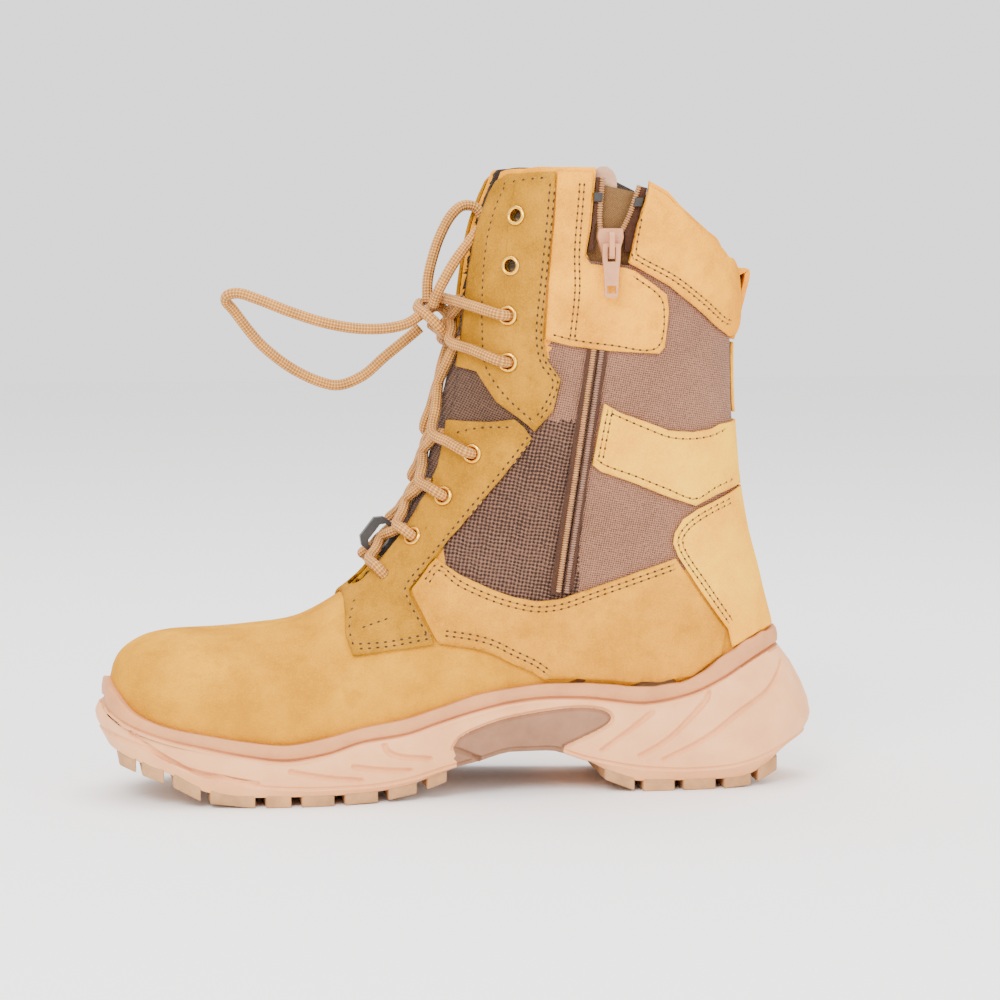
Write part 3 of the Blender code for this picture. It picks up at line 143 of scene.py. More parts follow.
# The last, as in the part's source: front and back point of each section (shares of the sole's
# length and the boot's height), swing and half widths (shares of the ball's width), where it is
# widest, and how full it is in front and at the back
SECTIONS = (
    (-0.479, 0.190, -0.479, 0.162, -0.078, 0.049, 0.049, 0.50, 2.00, 2.00),
    (-0.474, 0.211, -0.476, 0.143, -0.078, 0.147, 0.147, 0.45, 2.10, 2.40),
    (-0.465, 0.229, -0.466, 0.130, -0.078, 0.225, 0.216, 0.42, 2.20, 2.80),
    (-0.449, 0.244, -0.449, 0.117, -0.074, 0.294, 0.279, 0.40, 2.30, 3.00),
    (-0.426, 0.256, -0.423, 0.103, -0.064, 0.353, 0.338, 0.38, 2.30, 3.30),
    (-0.388, 0.263, -0.381, 0.086, -0.049, 0.407, 0.402, 0.37, 2.30, 3.50),
    (-0.337, 0.265, -0.324, 0.071, -0.034, 0.446, 0.451, 0.36, 2.25, 3.70),
    (-0.279, 0.270, -0.263, 0.064, -0.020, 0.471, 0.480, 0.36, 2.15, 3.80),
    (-0.224, 0.280, -0.192, 0.066, -0.005, 0.475, 0.490, 0.36, 2.05, 3.80),
    (-0.176, 0.305, -0.122, 0.079, 0.000, 0.451, 0.475, 0.36, 2.15, 3.60),
    (-0.138, 0.336, -0.038, 0.102, 0.000, 0.412, 0.446, 0.37, 2.25, 3.40),
    (-0.109, 0.374, 0.051, 0.118, 0.000, 0.377, 0.412, 0.38, 2.35, 3.20),
    (-0.083, 0.414, 0.144, 0.128, 0.000, 0.358, 0.382, 0.40, 2.45, 3.00),
    (-0.064, 0.455, 0.244, 0.132, 0.000, 0.353, 0.363, 0.43, 2.50, 2.90),
    (-0.048, 0.496, 0.337, 0.135, 0.000, 0.353, 0.353, 0.45, 2.50, 2.70),
    (-0.038, 0.538, 0.408, 0.158, 0.000, 0.358, 0.358, 0.46, 2.50, 2.60),
    (-0.030, 0.579, 0.440, 0.233, 0.000, 0.368, 0.368, 0.47, 2.50, 2.30),
    (-0.022, 0.620, 0.424, 0.323, 0.000, 0.377, 0.377, 0.48, 2.50, 2.10),
    (-0.013, 0.669, 0.402, 0.421, 0.000, 0.387, 0.387, 0.48, 2.50, 2.10),
    (-0.003, 0.726, 0.388, 0.534, 0.000, 0.402, 0.402, 0.49, 2.50, 2.10),
    (0.005, 0.786, 0.381, 0.647, 0.000, 0.417, 0.417, 0.50, 2.50, 2.15),
    (0.013, 0.850, 0.380, 0.763, 0.000, 0.431, 0.431, 0.50, 2.45, 2.20),
    (0.025, 0.917, 0.373, 0.872, 0.000, 0.441, 0.441, 0.50, 2.40, 2.20),
    (0.047, 0.985, 0.359, 0.970, 0.000, 0.441, 0.441, 0.50, 2.35, 2.20),
    (0.070, 1.053, 0.346, 1.060, 0.000, 0.431, 0.431, 0.50, 2.35, 2.20),
)
TABLE = np.array(SECTIONS)
MIDDLES = np.stack([(TABLE[:, 0] + TABLE[:, 2]) / 2 * SOLE_LENGTH,
                    (TABLE[:, 1] + TABLE[:, 3]) / 2 * BOOT_HEIGHT], axis=1)
PLACES = np.concatenate([[0], np.cumsum(np.linalg.norm(np.diff(MIDDLES, axis=0), axis=1))])
CURVES = [smooth_curve(PLACES, TABLE[:, k]) for k in range(10)]
TOE_TABLE = PLACES[6]
CAD_STEP = 30 * MM
CAD_SEGMENTS = 20
FINE_ROWS = 260
FINE_SEGMENTS = 120
FINE_START = 0.2 * MM
BESIDE = 0.12
FAR_AWAY = 1e9


def front_point(place):
    return np.stack([CURVES[0](place) * SOLE_LENGTH, CURVES[4](place) * BALL_WIDTH,
                     CURVES[1](place) * BOOT_HEIGHT], axis=-1)


def back_point(place):
    return np.stack([CURVES[2](place) * SOLE_LENGTH, CURVES[4](place) * BALL_WIDTH,
                     CURVES[3](place) * BOOT_HEIGHT], axis=-1)


def on_last(place, angle):
    place, angle = np.broadcast_arrays(np.asarray(place, float), np.asarray(angle, float))
    front = front_point(place)
    back = back_point(place)
    chord = front - back
    length = np.linalg.norm(chord, axis=-1)
    forward = chord / length[..., None]
    share = CURVES[7](place)
    centre = back + chord * share[..., None]
    ahead = np.cos(angle)
    aside = np.sin(angle)
    reach = np.where(ahead > 0, 1 - share, share) * length
    fullness = np.where(ahead > 0, CURVES[8](place), CURVES[9](place))
    width = np.where(aside < 0, CURVES[5](place), CURVES[6](place)) * BALL_WIDTH
    radius = (np.abs(ahead / reach) ** fullness + np.abs(aside / width) ** fullness) ** (-1 / fullness)
    point = centre + forward * (radius * ahead)[..., None]
    point[..., 1] += radius * aside
    return point


def outward_at(place, angle):
    place, angle = np.broadcast_arrays(np.asarray(place, float), np.asarray(angle, float))
    before = np.clip(place - 1.5 * MM, 0, PLACES[-1])
    after = np.clip(place + 1.5 * MM, 0, PLACES[-1])
    ahead = on_last(after, angle) - on_last(before, angle)
    around = on_last(place, angle + 0.02) - on_last(place, angle - 0.02)
    normal = np.cross(ahead, around)
    return normal / np.linalg.norm(normal, axis=-1)[..., None]


def off_last(place, angle, offset):
    return on_last(place, angle) + outward_at(place, angle) * np.asarray(offset)[..., None]


def net_of(places, angles):
    # Triangles over the last, with the place and angle of each corner
    grid = on_last(places[:, None], angles[None, :]).reshape(-1, 3)
    known = np.stack(np.meshgrid(places, angles, indexing="ij"), axis=-1).reshape(-1, 2)
    count = len(angles)
    faces = []
    for r in range(len(places) - 1):
        for i in range(count - 1):
            n = r * count + i
            faces += [(n, n + 1 + count, n + 1), (n, n + count, n + 1 + count)]
    tree = BVHTree.FromPolygons([Vector(p) for p in grid], faces)
    return tree, grid, known, np.array(faces)


def coarse_places():
    places = [PLACES[0]]
    for place in PLACES[1:]:
        extra = int((place - places[-1]) / CAD_STEP)
        places += list(np.linspace(places[-1], place, extra + 2)[1:])
    return np.array(places)


FINE = net_of(np.linspace(FINE_START, PLACES[-1], FINE_ROWS),
              np.linspace(-math.pi, math.pi, FINE_SEGMENTS + 1))
COARSE = net_of(coarse_places(), np.linspace(-math.pi, math.pi, CAD_SEGMENTS + 1))


def spots_in_net(hits, indices, net):
    # Place and angle of points on triangles of a net
    _, grid, known, faces = net
    corners = faces[np.asarray(indices)]
    a = grid[corners[:, 0]]
    u = grid[corners[:, 1]] - a
    v = grid[corners[:, 2]] - a
    w = np.asarray(hits) - a
    uu, uv, vv = (u * u).sum(1), (u * v).sum(1), (v * v).sum(1)
    wu, wv = (w * u).sum(1), (w * v).sum(1)
    scale = np.maximum(uu * vv - uv * uv, 1e-24)
    first = ((vv * wu - uv * wv) / scale)[:, None]
    second = ((uu * wv - uv * wu) / scale)[:, None]
    start = known[corners[:, 0]]
    return start + first * (known[corners[:, 1]] - start) + second * (known[corners[:, 2]] - start)


def on_side(along, up, side):
    # Place and angle of a point that the side view shows; side is -1 for medial, 1 for lateral
    start = Vector((along * SOLE_LENGTH, side * BESIDE, up * BOOT_HEIGHT))
    hit, _, index, _ = FINE[0].ray_cast(start, Vector((0, -side, 0)))
    return None if hit is None else spots_in_net([tuple(hit)], [index], FINE)[0]


# Small relief that every layer shares: soft creases and hollows, each a line in the side view
# with its depth and half width in millimetres, and the sides that it lies on
CREASES = (
    (((-0.235, 0.262), (-0.215, 0.225), (-0.212, 0.180)), -0.5, 9, (-1, 1)),
    (((-0.180, 0.262), (-0.175, 0.220), (-0.185, 0.170)), -0.4, 8, (-1, 1)),
    (((0.010, 0.300), (0.055, 0.282), (0.100, 0.284)), 0.45, 5, (-1, 1)),
    (((0.120, 0.262), (0.160, 0.280), (0.205, 0.310)), -0.5, 7, (-1, 1)),
    (((0.140, 0.225), (0.190, 0.230), (0.235, 0.258)), 0.4, 6, (-1, 1)),
    (((-0.010, 0.270), (0.020, 0.262), (0.060, 0.235)), -0.4, 5, (-1, 1)),
    (((0.205, 0.470), (0.225, 0.420), (0.235, 0.370)), -0.8, 7, (-1, 1)),
    (((0.330, 0.440), (0.300, 0.500), (0.270, 0.560)), 0.5, 9, (-1, 1)),
    (((0.030, 0.430), (0.060, 0.455), (0.095, 0.470)), -0.5, 7, (-1, 1)),
    (((0.225, 0.655), (0.275, 0.650), (0.330, 0.665)), -0.9, 8, (-1, 1)),
    (((0.120, 0.560), (0.128, 0.620), (0.138, 0.680)), 0.5, 7, (-1, 1)),
    (((0.020, 0.900), (0.030, 0.840), (0.034, 0.780)), 0.5, 7, (-1, 1)),
)


def in_metres(line):
    # A side view line given as shares of the sole's length and the boot's height
    return [(along * SOLE_LENGTH, up * BOOT_HEIGHT) for along, up in line]


def away_from(x, z, lines):
    # Distance in the side view to the nearest of several lines
    best = np.full(len(x), FAR_AWAY)
    for line in lines:
        for (xa, za), (xb, zb) in zip(line, line[1:]):
            run = max((xb - xa) ** 2 + (zb - za) ** 2, 1e-12)
            share = np.clip(((x - xa) * (xb - xa) + (z - za) * (zb - za)) / run, 0, 1)
            best = np.minimum(best, np.hypot(x - xa - share * (xb - xa), z - za - share * (zb - za)))
    return best


def shared_relief(points):
    lift = np.zeros(len(points))
    for line, depth, half, sides in CREASES:
        away = away_from(points[:, 0], points[:, 2], [in_metres(line)]) / (half * MM)
        inside = np.isin(np.where(points[:, 1] < 0, -1, 1), sides)
        lift += np.where(inside, depth * MM * np.exp(-away ** 2), 0)
    x, y, z = (points / MM).T
    lift += 0.28 * MM * np.sin(x / 19 + 1.2 * np.sin(z / 23)) * np.sin(z / 17 + np.sin(x / 31) + y / 40)
    return lift


# Mesh work
def new_piece(name, bm, *finishes):
    mesh = bpy.data.meshes.new(name)
    bm.to_mesh(mesh)
    bm.free()
    piece = bpy.data.objects.new(name, mesh)
    bpy.context.collection.objects.link(piece)
    for finish in finishes:
        mesh.materials.append(finish)
    return piece


def settle(piece, *nodes, body="boot", slot=None):
    # The finished piece moves with the boot and stands for its solids
    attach(piece, body)
    if nodes:
        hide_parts(*nodes)
    return piece


def shade(piece, angle=40):
    piece.data.shade_smooth()
    piece.data.set_sharp_from_angle(angle=math.radians(angle))


def finely_cut(bm, longest):
    # Splits long edges until the surface can follow a curve
    for _ in range(7):
        long = [e for e in bm.edges if e.calc_length() > longest]
        if not long:
            break
        bmesh.ops.subdivide_edges(bm, edges=long, cuts=1)
        bmesh.ops.triangulate(bm, faces=[f for f in bm.faces if len(f.verts) > 3],
                              quad_method="SHORT_EDGE")


def on_smooth_last(points, swell=None):
    # Moves points from the faceted last of the solids to the smooth one
    hits = []
    indices = []
    heights = []
    for point in points:
        place = Vector(point)
        hit, normal, _, _ = COARSE[0].find_nearest(place)
        away = (place - hit).length
        heights.append(away if (place - hit).dot(normal) > 0 else -away)
        hit, _, index, _ = FINE[0].find_nearest(place)
        hits.append(tuple(hit))
        indices.append(index)
    spots = spots_in_net(hits, indices, FINE)
    heights = np.array(heights)
    base = on_last(spots[:, 0], spots[:, 1])
    lift = shared_relief(base)
    if swell is not None:
        lift = lift + swell(base, heights, spots)
    return off_last(spots[:, 0], spots[:, 1], heights + lift), heights, spots


def soft_copy(node, name, finishes, longest=3.5, swell=None, finish_of=None, slot=None):
    # A fine copy of a solid, laid on the smooth last
    bm = bmesh.new()
    bm.from_mesh(NODES[node].data)
    bmesh.ops.remove_doubles(bm, verts=bm.verts, dist=1e-6)
    finely_cut(bm, longest * MM)
    bm.verts.ensure_lookup_table()
    moved, heights, spots = on_smooth_last([tuple(v.co) for v in bm.verts], swell)
    for vertex, point in zip(bm.verts, moved):
        vertex.co = point
    if finish_of:
        bm.verts.index_update()
        for face in bm.faces:
            rows = [v.index for v in face.verts]
            face.material_index = finish_of(moved[rows].mean(axis=0), heights[rows].mean())
    piece = new_piece(name, bm, *finishes)
    shade(piece)
    return settle(piece, node, slot=slot)


def poured_in(whole, part):
    # Adds a small mesh to a large one, which is quicker than building it there
    mesh = bpy.data.meshes.new("part")
    part.to_mesh(mesh)
    part.free()
    whole.from_mesh(mesh)
    bpy.data.meshes.remove(mesh)


def lay_bead(bm, point, ahead, normal, size, fineness):
    # A small rounded bead on a surface: length, width and height as half sizes in millimetres
    ahead = (ahead - normal * ahead.dot(normal)).normalized()
    turn = Matrix((ahead, normal.cross(ahead), normal)).transposed().to_4x4()
    bmesh.ops.create_uvsphere(bm, u_segments=fineness[0], v_segments=fineness[1], radius=1.0,
                              matrix=Matrix.Translation(point) @ turn @
                              Matrix.Diagonal([half * MM for half in size] + [1.0]))


def ring_edges(ring):
    # The edges of a closed loop of vertices
    inside = set(ring)
    return list({e for v in ring for e in v.link_edges if e.other_vert(v) in inside})


def tube(whole, points, radii, sides=12):
    # A round tube through points, one ring after another, closed at its ends
    bm = bmesh.new()
    layer = bm.loops.layers.uv.verify()
    points = [Vector(p) for p in points]
    across = None
    rings = []
    travelled = [0.0]
    for a, b in zip(points, points[1:]):
        travelled.append(travelled[-1] + (b - a).length)
    for i, point in enumerate(points):
        run = (points[min(i + 1, len(points) - 1)] - points[max(i - 1, 0)]).normalized()
        if across is None:
            across = run.cross(Vector((0.3, 0.2, 1.0)))
        across = (across - run * across.dot(run)).normalized()
        turn = Matrix((across, run.cross(across), run)).transposed().to_4x4()
        made = bmesh.ops.create_circle(bm, cap_ends=False, segments=sides, radius=radii[i],
                                       matrix=Matrix.Translation(point) @ turn)
        rings.append(made["verts"])
    spot = {v: (r, k) for r, ring in enumerate(rings) for k, v in enumerate(ring)}
    loops = [ring_edges(ring) for ring in rings]
    for near, far in zip(loops, loops[1:]):
        made = bmesh.ops.bridge_loops(bm, edges=near + far)
        for face in made["faces"]:
            columns = [spot[v][1] for v in face.verts]
            wraps = 0 in columns and sides - 1 in columns
            for loop in face.loops:
                row, step = spot[loop.vert]
                step = sides if wraps and step == 0 else step
                loop[layer].uv = (travelled[row] / MM, step / sides)
            face.smooth = True
    for ring in (rings[0], rings[-1]):
        bmesh.ops.contextual_create(bm, geom=ring)
    bmesh.ops.recalc_face_normals(bm, faces=bm.faces)
    poured_in(whole, bm)


# Finishes. A colour is written as it looks on a screen.
def linear(colour):
    values = [int(colour[i:i + 2], 16) / 255 for i in (1, 3, 5)]
    return tuple(v / 12.92 if v <= 0.04045 else ((v + 0.055) / 1.055) ** 2.4 for v in values) + (1.0,)


def start_finish(name, colour, roughness, **sockets):
    made = bpy.data.materials.new(name)
    made.use_nodes = True
    shader = made.node_tree.nodes["Principled BSDF"]
    shader.inputs["Base Color"].default_value = linear(colour)
    shader.inputs["Roughness"].default_value = roughness
    for socket, value in sockets.items():
        shader.inputs[socket.replace("_", " ")].default_value = value
    made.diffuse_color = linear(colour)
    return made, shader


def add_node(made, kind, inputs=(), **settings):
    # One node, its settings, and what goes into its sockets: values, colours or outputs of nodes
    node = made.node_tree.nodes.new("ShaderNode" + kind)
    for setting, value in settings.items():
        setattr(node, setting, value)
    for socket, value in dict(inputs).items():
        if isinstance(value, bpy.types.NodeSocket):
            made.node_tree.links.new(value, node.inputs[socket])
        else:
            node.inputs[socket].default_value = linear(value) if isinstance(value, str) else value
    return node


def clouds(made, pitch, detail=3.0, roughness=0.55):
    # Soft patches of a real size in millimetres, in the object's own coordinates
    spot = add_node(made, "TexCoord").outputs["Object"]
    size = 1 / (pitch * MM)
    counted = add_node(made, "Mapping", {0: spot, 3: (size, size, size)}).outputs[0]
    return add_node(made, "TexNoise", {"Vector": counted, "Scale": 1.0, "Detail": detail,
                                       "Roughness": roughness}).outputs[0]


def rubbed_over(made, under, over, pattern, start, full, most=1.0):
    # One colour over another, from none where the pattern is at start to the most where it is full
    share = add_node(made, "MapRange", {0: pattern, 1: start, 2: full, 3: 0.0, 4: most}).outputs[0]
    return add_node(made, "Mix", {0: share, 6: under, 7: over}, data_type="RGBA").outputs[2]


def crossed_yarns(made, across, along, ways, wander=None):
    # Two sets of yarn, each a wave that runs its own way, and where they cross they rise
    waves = []
    for turn_across, turn_along in ways:
        wave = add_node(made, "Math", {0: across, 1: turn_across}, operation="MULTIPLY").outputs[0]
        wave = add_node(made, "Math", {0: along, 1: turn_along, 2: wave},
                        operation="MULTIPLY_ADD").outputs[0]
        if wander is not None:
            wave = add_node(made, "Math", {0: wander, 1: YARN_WANDER, 2: wave},
                            operation="MULTIPLY_ADD").outputs[0]
        waves.append(add_node(made, "Math", {0: wave}, operation="SINE").outputs[0])
    return add_node(made, "Math", {0: waves[0], 1: waves[1]}, operation="MULTIPLY").outputs[0]


def raised(made, shader, height, depth, edge=0.35):
    # A bump of a real depth in millimetres, over edges that are rounded a little
    round_edge = add_node(made, "Bevel", {"Radius": edge * MM}, samples=4).outputs[0]
    bump = add_node(made, "Bump", {"Height": height, "Distance": depth * MM, "Normal": round_edge})
    made.node_tree.links.new(bump.outputs[0], shader.inputs["Normal"])


YARN_WANDER = 5.0
YARN_ANGLE = 88
BRAID_PITCH = 2.6
BRAID_STRANDS = 5
# Heights in metres where the painted shade near the sole starts and where it is full
LOW_SHADE_TOP = 0.066
LOW_SHADE_FULL = 0.028


def suede(name, light, middle, dark):
    # Split leather, buffed to a nap: soft light and dark strokes, with a fine fuzz
    made, shader = start_finish(name, middle, 0.92, Sheen_Weight=0.0, Specular_IOR_Level=0.04)
    colour = rubbed_over(made, dark, light, clouds(made, 26, 4.0, 0.6), 0.34, 0.66)
    colour = rubbed_over(made, colour, middle, clouds(made, 2.2, 3.0, 0.65), 0.3, 0.7, 0.35)
    colour = rubbed_over(made, colour, dark, clouds(made, 7.0, 4.0, 0.65), 0.52, 0.72, 0.55)
    fuzz = clouds(made, 0.7, 2.0, 0.6)
    colour = rubbed_over(made, colour, dark, fuzz, 0.52, 0.30, 0.35)
    colour = rubbed_over(made, colour, light, fuzz, 0.50, 0.70, 0.45)
    # Painted shade darkens the lowest part, near the sole
    height = add_node(made, "SeparateXYZ", {0: add_node(made, "TexCoord").outputs["Object"]})
    colour = rubbed_over(made, colour, dark, height.outputs[2], LOW_SHADE_TOP, LOW_SHADE_FULL, 0.30)
    made.node_tree.links.new(colour, shader.inputs["Base Color"])
    both = add_node(made, "Math", {0: fuzz, 1: clouds(made, 5.0, 3.0, 0.6)}, operation="ADD").outputs[0]
    raised(made, shader, both, 0.35, 0.5)
    return made


def weave(name, light, middle, dark, pitch, turn, depth, contrast):
    # Textured nylon: rows of pale yarn crossings with dark spaces between them
    made, shader = start_finish(name, middle, 0.78, Sheen_Weight=0.04, Specular_IOR_Level=0.2)
    parts = add_node(made, "SeparateXYZ", {0: add_node(made, "TexCoord").outputs["Object"]})
    per_metre = 2 * math.pi / (pitch * MM)
    ways = [(math.cos(math.radians(angle)) * per_metre, math.sin(math.radians(angle)) * per_metre)
            for angle in (turn, turn + YARN_ANGLE)]
    crossing = crossed_yarns(made, parts.outputs[0], parts.outputs[2], ways, clouds(made, 9.0, 2.0, 0.5))
    yarn = add_node(made, "Math", {0: clouds(made, 0.8, 2.0, 0.7), 1: 2.2, 2: crossing},
                    operation="MULTIPLY_ADD").outputs[0]
    colour = rubbed_over(made, middle, light, clouds(made, 30, 2.0), 0.35, 0.65, 0.35)
    colour = rubbed_over(made, colour, light, yarn, 1.05, 1.75, contrast)
    colour = rubbed_over(made, colour, dark, yarn, 1.0, 0.3, contrast)
    made.node_tree.links.new(colour, shader.inputs["Base Color"])
    raised(made, shader, yarn, depth, 0.3)
    return made


def braid(name, light, middle, dark):
    # A round lace: two sets of glossy yarn that cross on the bias
    made, shader = start_finish(name, middle, 0.6, Sheen_Weight=0.05, Specular_IOR_Level=0.3)
    parts = add_node(made, "SeparateXYZ", {0: add_node(made, "TexCoord").outputs["UV"]})
    ways = [(2 * math.pi / BRAID_PITCH, way * 2 * math.pi * BRAID_STRANDS) for way in (1, -1)]
    yarn = crossed_yarns(made, parts.outputs[0], parts.outputs[1], ways)
    colour = rubbed_over(made, middle, dark, clouds(made, 6, 2.0), 0.3, 0.7, 0.5)
    colour = rubbed_over(made, colour, light, yarn, 0.0, 0.9, 0.75)
    colour = rubbed_over(made, colour, dark, yarn, 0.0, -0.8, 0.7)
    made.node_tree.links.new(colour, shader.inputs["Base Color"])
    bump = add_node(made, "Bump", {"Height": yarn, "Distance": 0.35 * MM})
    made.node_tree.links.new(bump.outputs[0], shader.inputs["Normal"])
    return made


def plain(name, light, dark, roughness, pitch=12, depth=0.08, metallic=0.0, edge=0.5):
    # A moulded, plated or spun finish with slight unevenness
    made, shader = start_finish(name, light, roughness, Metallic=metallic)
    tone = rubbed_over(made, dark, light, clouds(made, pitch, 4.0, 0.6), 0.3, 0.7)
    made.node_tree.links.new(tone, shader.inputs["Base Color"])
    rough = add_node(made, "MapRange", {0: clouds(made, pitch / 3, 3.0), 1: 0.3, 2: 0.7,
                                        3: roughness - 0.07, 4: roughness + 0.07}).outputs[0]
    made.node_tree.links.new(rough, shader.inputs["Roughness"])
    raised(made, shader, clouds(made, 0.9, 3.0, 0.6), depth, edge)
    return made


# Buffed split leather: dull golden tan, painted darker on the toe as shade, since the light falls from the
# back
SUEDE_TOE_SHADED = suede("golden_suede_vamp", "#DD9A12", "#D08E0C", "#B27508")
# The same leather under the laces, browner
SUEDE_FACING = suede("golden_suede_facing", "#BD8219", "#AC7610", "#8A5B0C")
# The same leather on the quarters, painted a little brighter than on the toe, as more of the light from the
# back falls there
SUEDE_QUARTER = suede("golden_suede_quarter", "#E29B1F", "#D68E18", "#B27312")
# Leather at the top of the shaft: a warm, bright gold
SUEDE_GUARD = suede("golden_suede_guard", "#FFAE14", "#F6A110", "#CC810E")
# The heel and ankle pieces, painted paler as lit by the light from the back: almost cream
SUEDE_PALE_LIT = suede("pale_golden_suede", "#FFC42A", "#FFB620", "#EA9C20")
# Close woven nylon: mauve brown and matt, with a fine grain of pale yarn crossings
NYLON_MAIN = weave("mauve_brown_nylon", "#B17D63", "#825943", "#503627", 1.35, 35, 0.3, 0.75)
# Open nylon for air: rows of dark gaps on the bias, 2.2 mm apart
NYLON_OPEN = weave("open_mauve_brown_nylon", "#86604D", "#422A1F", "#1E110B", 2.25, 35, 0.5, 0.95)
# The tongue's coarse nylon, dark brown in the shade of the laces
NYLON_TONGUE = weave("dark_brown_nylon", "#755340", "#493122", "#26180F", 1.4, 20, 0.35, 0.8)
# Knitted lining: a dark, soft inside that takes the light away
LINING = weave("brown_knit_lining", "#54463A", "#3A2D25", "#201813", 1.2, 10, 0.2, 0.6)
# Woven polyester zip tape: flat dark brown beside the coil
TAPE = weave("brown_zip_tape", "#5A3826", "#452A1C", "#2C1A12", 0.9, 80, 0.15, 0.5)
# Coated gusset cloth behind the zip: a shaded golden brown
GUSSET = weave("golden_brown_gusset_cloth", "#815D33", "#684827", "#472F1A", 0.9, 80, 0.1, 0.4)
# Braided polyester: tan, with light caught on each small strand
LACE_FINISH = braid("tan_braided_polyester", "#F2AC5C", "#CC8A3A", "#7E521E")
# Moulded rubber: smooth pinkish beige with broad soft highlights
SOLE_RUBBER = plain("beige_moulded_rubber", "#F0AC74", "#DF9B62", 0.62, 22, 0.06)
# The rand's rubber: the same, more worn, so darker and duller
SOLE_RAND = plain("beige_rubber_rand", "#D18C54", "#BE7B49", 0.66, 14, 0.12)
# Rubber under the arch, painted darker as shade where it is sunk in: a flat taupe
SOLE_ARCH_SHADE = plain("shaded_arch_rubber", "#93684B", "#7F573C", 0.7, 14, 0.12)
# Tread rubber: scuffed matt beige with dust in it
LUG_RUBBER = plain("worn_rubber_lugs", "#BD8B5A", "#9A7148", 0.75, 9, 0.12)
# Pressed and polished brass: small bright rings with sharp glints
BRASS = plain("polished_brass", "#FFC94A", "#E8AC3A", 0.22, 4, 0.02, metallic=1.0, edge=0.2)
# Zinc casting under paint: a satin pinkish beige
PAINTED = plain("painted_zip_metal", "#D08C60", "#B4764F", 0.42, 5, 0.03, edge=0.3)
# Moulded nylon: near black with a low sheen; also used as painted shadow behind the empty eyelets
BLACK = plain("black_moulding_and_painted_shadow", "#2D2623", "#1C1816", 0.45, 4, 0.03, edge=0.3)
# Coiled nylon monofilament: the front row catches a golden light, the rear row stays brown
COIL = plain("golden_brown_nylon_coil", "#B07C4A", "#8A5C34", 0.5, 3, 0.05, edge=0.1)
COIL_DARK = plain("brown_nylon_coil", "#8E6752", "#6C4A38", 0.55, 3, 0.05, edge=0.1)
# Bonded thread: gold, a little darker than the leather it holds
THREAD = plain("golden_thread", "#B07C22", "#8F6018", 0.7, 3, 0.03, edge=0.1)
# Painted shade inside a needle hole: dark brown beads where the hole's shadow falls
HOLE_SHADE = plain("needle_hole", "#38200C", "#2A1707", 0.9, 3, 0.02, edge=0.1)
# Brushed lining cloth: chalky pinkish beige
FLAP = plain("pinkish_lining_cloth", "#C69877", "#A87C5E", 0.85, 6, 0.1)


# The laces in front, as in the part's source, in millimetres
LOOP = ((-16.6, -6.9, 203.3), (-22.0, -9.5, 200.0), (-31.0, -12.0, 198.0), (-44.0, -13.0, 198.0),
        (-58.0, -13.0, 200.5), (-72.0, -12.0, 205.0), (-86.0, -10.0, 210.5), (-94.0, -8.0, 213.0),
        (-98.5, -6.0, 212.0), (-99.0, -4.0, 209.5), (-96.0, -2.0, 206.0), (-90.0, 0.0, 198.0),
        (-83.0, 2.0, 190.0), (-70.0, 4.0, 180.0), (-57.0, 5.0, 174.0), (-50.0, 5.0, 173.0),
        (-40.0, 4.0, 177.0), (-31.0, 2.0, 185.0), (-20.5, 1.5, 193.5), (-15.6, 1.4, 197.6))
END_MEDIAL = ((-11.2, -8.9, 207.1), (-9.8, -12.0, 212.5), (-6.5, -14.0, 219.5), (-2.0, -14.2, 227.0),
              (3.5, -12.8, 234.0), (8.5, -11.0, 240.0))
END_LATERAL = ((-12.6, 0.3, 207.7), (-12.0, 3.0, 218.0), (-9.5, 5.0, 228.0), (-6.0, 7.5, 237.0),
               (-1.0, 9.5, 245.5), (4.0, 11.0, 249.5), (9.5, 12.0, 249.0), (14.0, 12.5, 243.5))
KNOT_WRAP = ((-15.5, 2.5, 208.0), (-17.0, -4.5, 206.0), (-13.5, -10.5, 203.0), (-9.0, -11.5, 198.5),
             (-6.5, -7.0, 195.5), (-7.5, -1.0, 196.5), (-10.5, 4.0, 199.0))
KNOT_BACK = ((-14.0, -6.0, 204.0), (-10.5, -1.0, 206.5), (-6.0, 4.5, 206.0), (-3.0, 2.0, 202.0),
             (-6.0, -4.5, 199.5))


def free_lace(name, line, node, knots):
    # A loose lace along a smooth line
    points = spline_through(np.array(line) * MM, knots)
    bm = bmesh.new()
    tube(bm, points, [LACE / 2] * len(points), 14)
    piece = new_piece(name, bm, LACE_FINISH)
    settle(piece, node, slot="braided_lace")
    return piece


free_lace("lace_bow_loop", LOOP, "lace_loop", 4)
free_lace("lace_end_near", END_MEDIAL, "lace_end_medial", 6)
free_lace("lace_end_far", END_LATERAL, "lace_end_lateral", 6)


def tie_knot():
    bm = bmesh.new()
    for line in (KNOT_WRAP, KNOT_BACK):
        points = spline_through(np.array(line) * MM, 6)
        tube(bm, points, [LACE / 2 * 1.02] * len(points), 14)
    settle(new_piece("tied_lace_knot", bm, LACE_FINISH), "lace_knot", slot="braided_lace")


tie_knot()


# The laces over the tongue, from facing to facing through the eyelets
EYELETS = ((0.070, 0.923), (0.062, 0.845), (0.058, 0.767), (0.058, 0.693),
           (0.013, 0.546), (-0.024, 0.476), (-0.065, 0.410), (-0.106, 0.350))
RINGED = 7
CROSSINGS = ((2, 3, 2.8), (3, 4, 2.8), (4, 5, 2.8), (5, 6, 2.8), (6, 7, 4.2))
THROAT_START = 0.325


def ridge_place(up):
    places = np.linspace(TOE_TABLE, PLACES[-1], 400)
    return float(np.interp(up, CURVES[1](places), places))


def throat_half(place):
    start = ridge_place(THROAT_START)
    share = (place - start) / (PLACES[-1] - start)
    ending = np.clip((place - start) / (9 * MM), 0.02, 1)
    return (11 * MM + 4 * MM * share) * math.sqrt(1 - (1 - ending) ** 2)


def angle_at(place, reach):
    angles = np.linspace(-1.4, 1.4, 120)
    return float(np.interp(reach, on_last(np.full(120, place), angles)[:, 1] - front_point(place)[1],
                           angles))


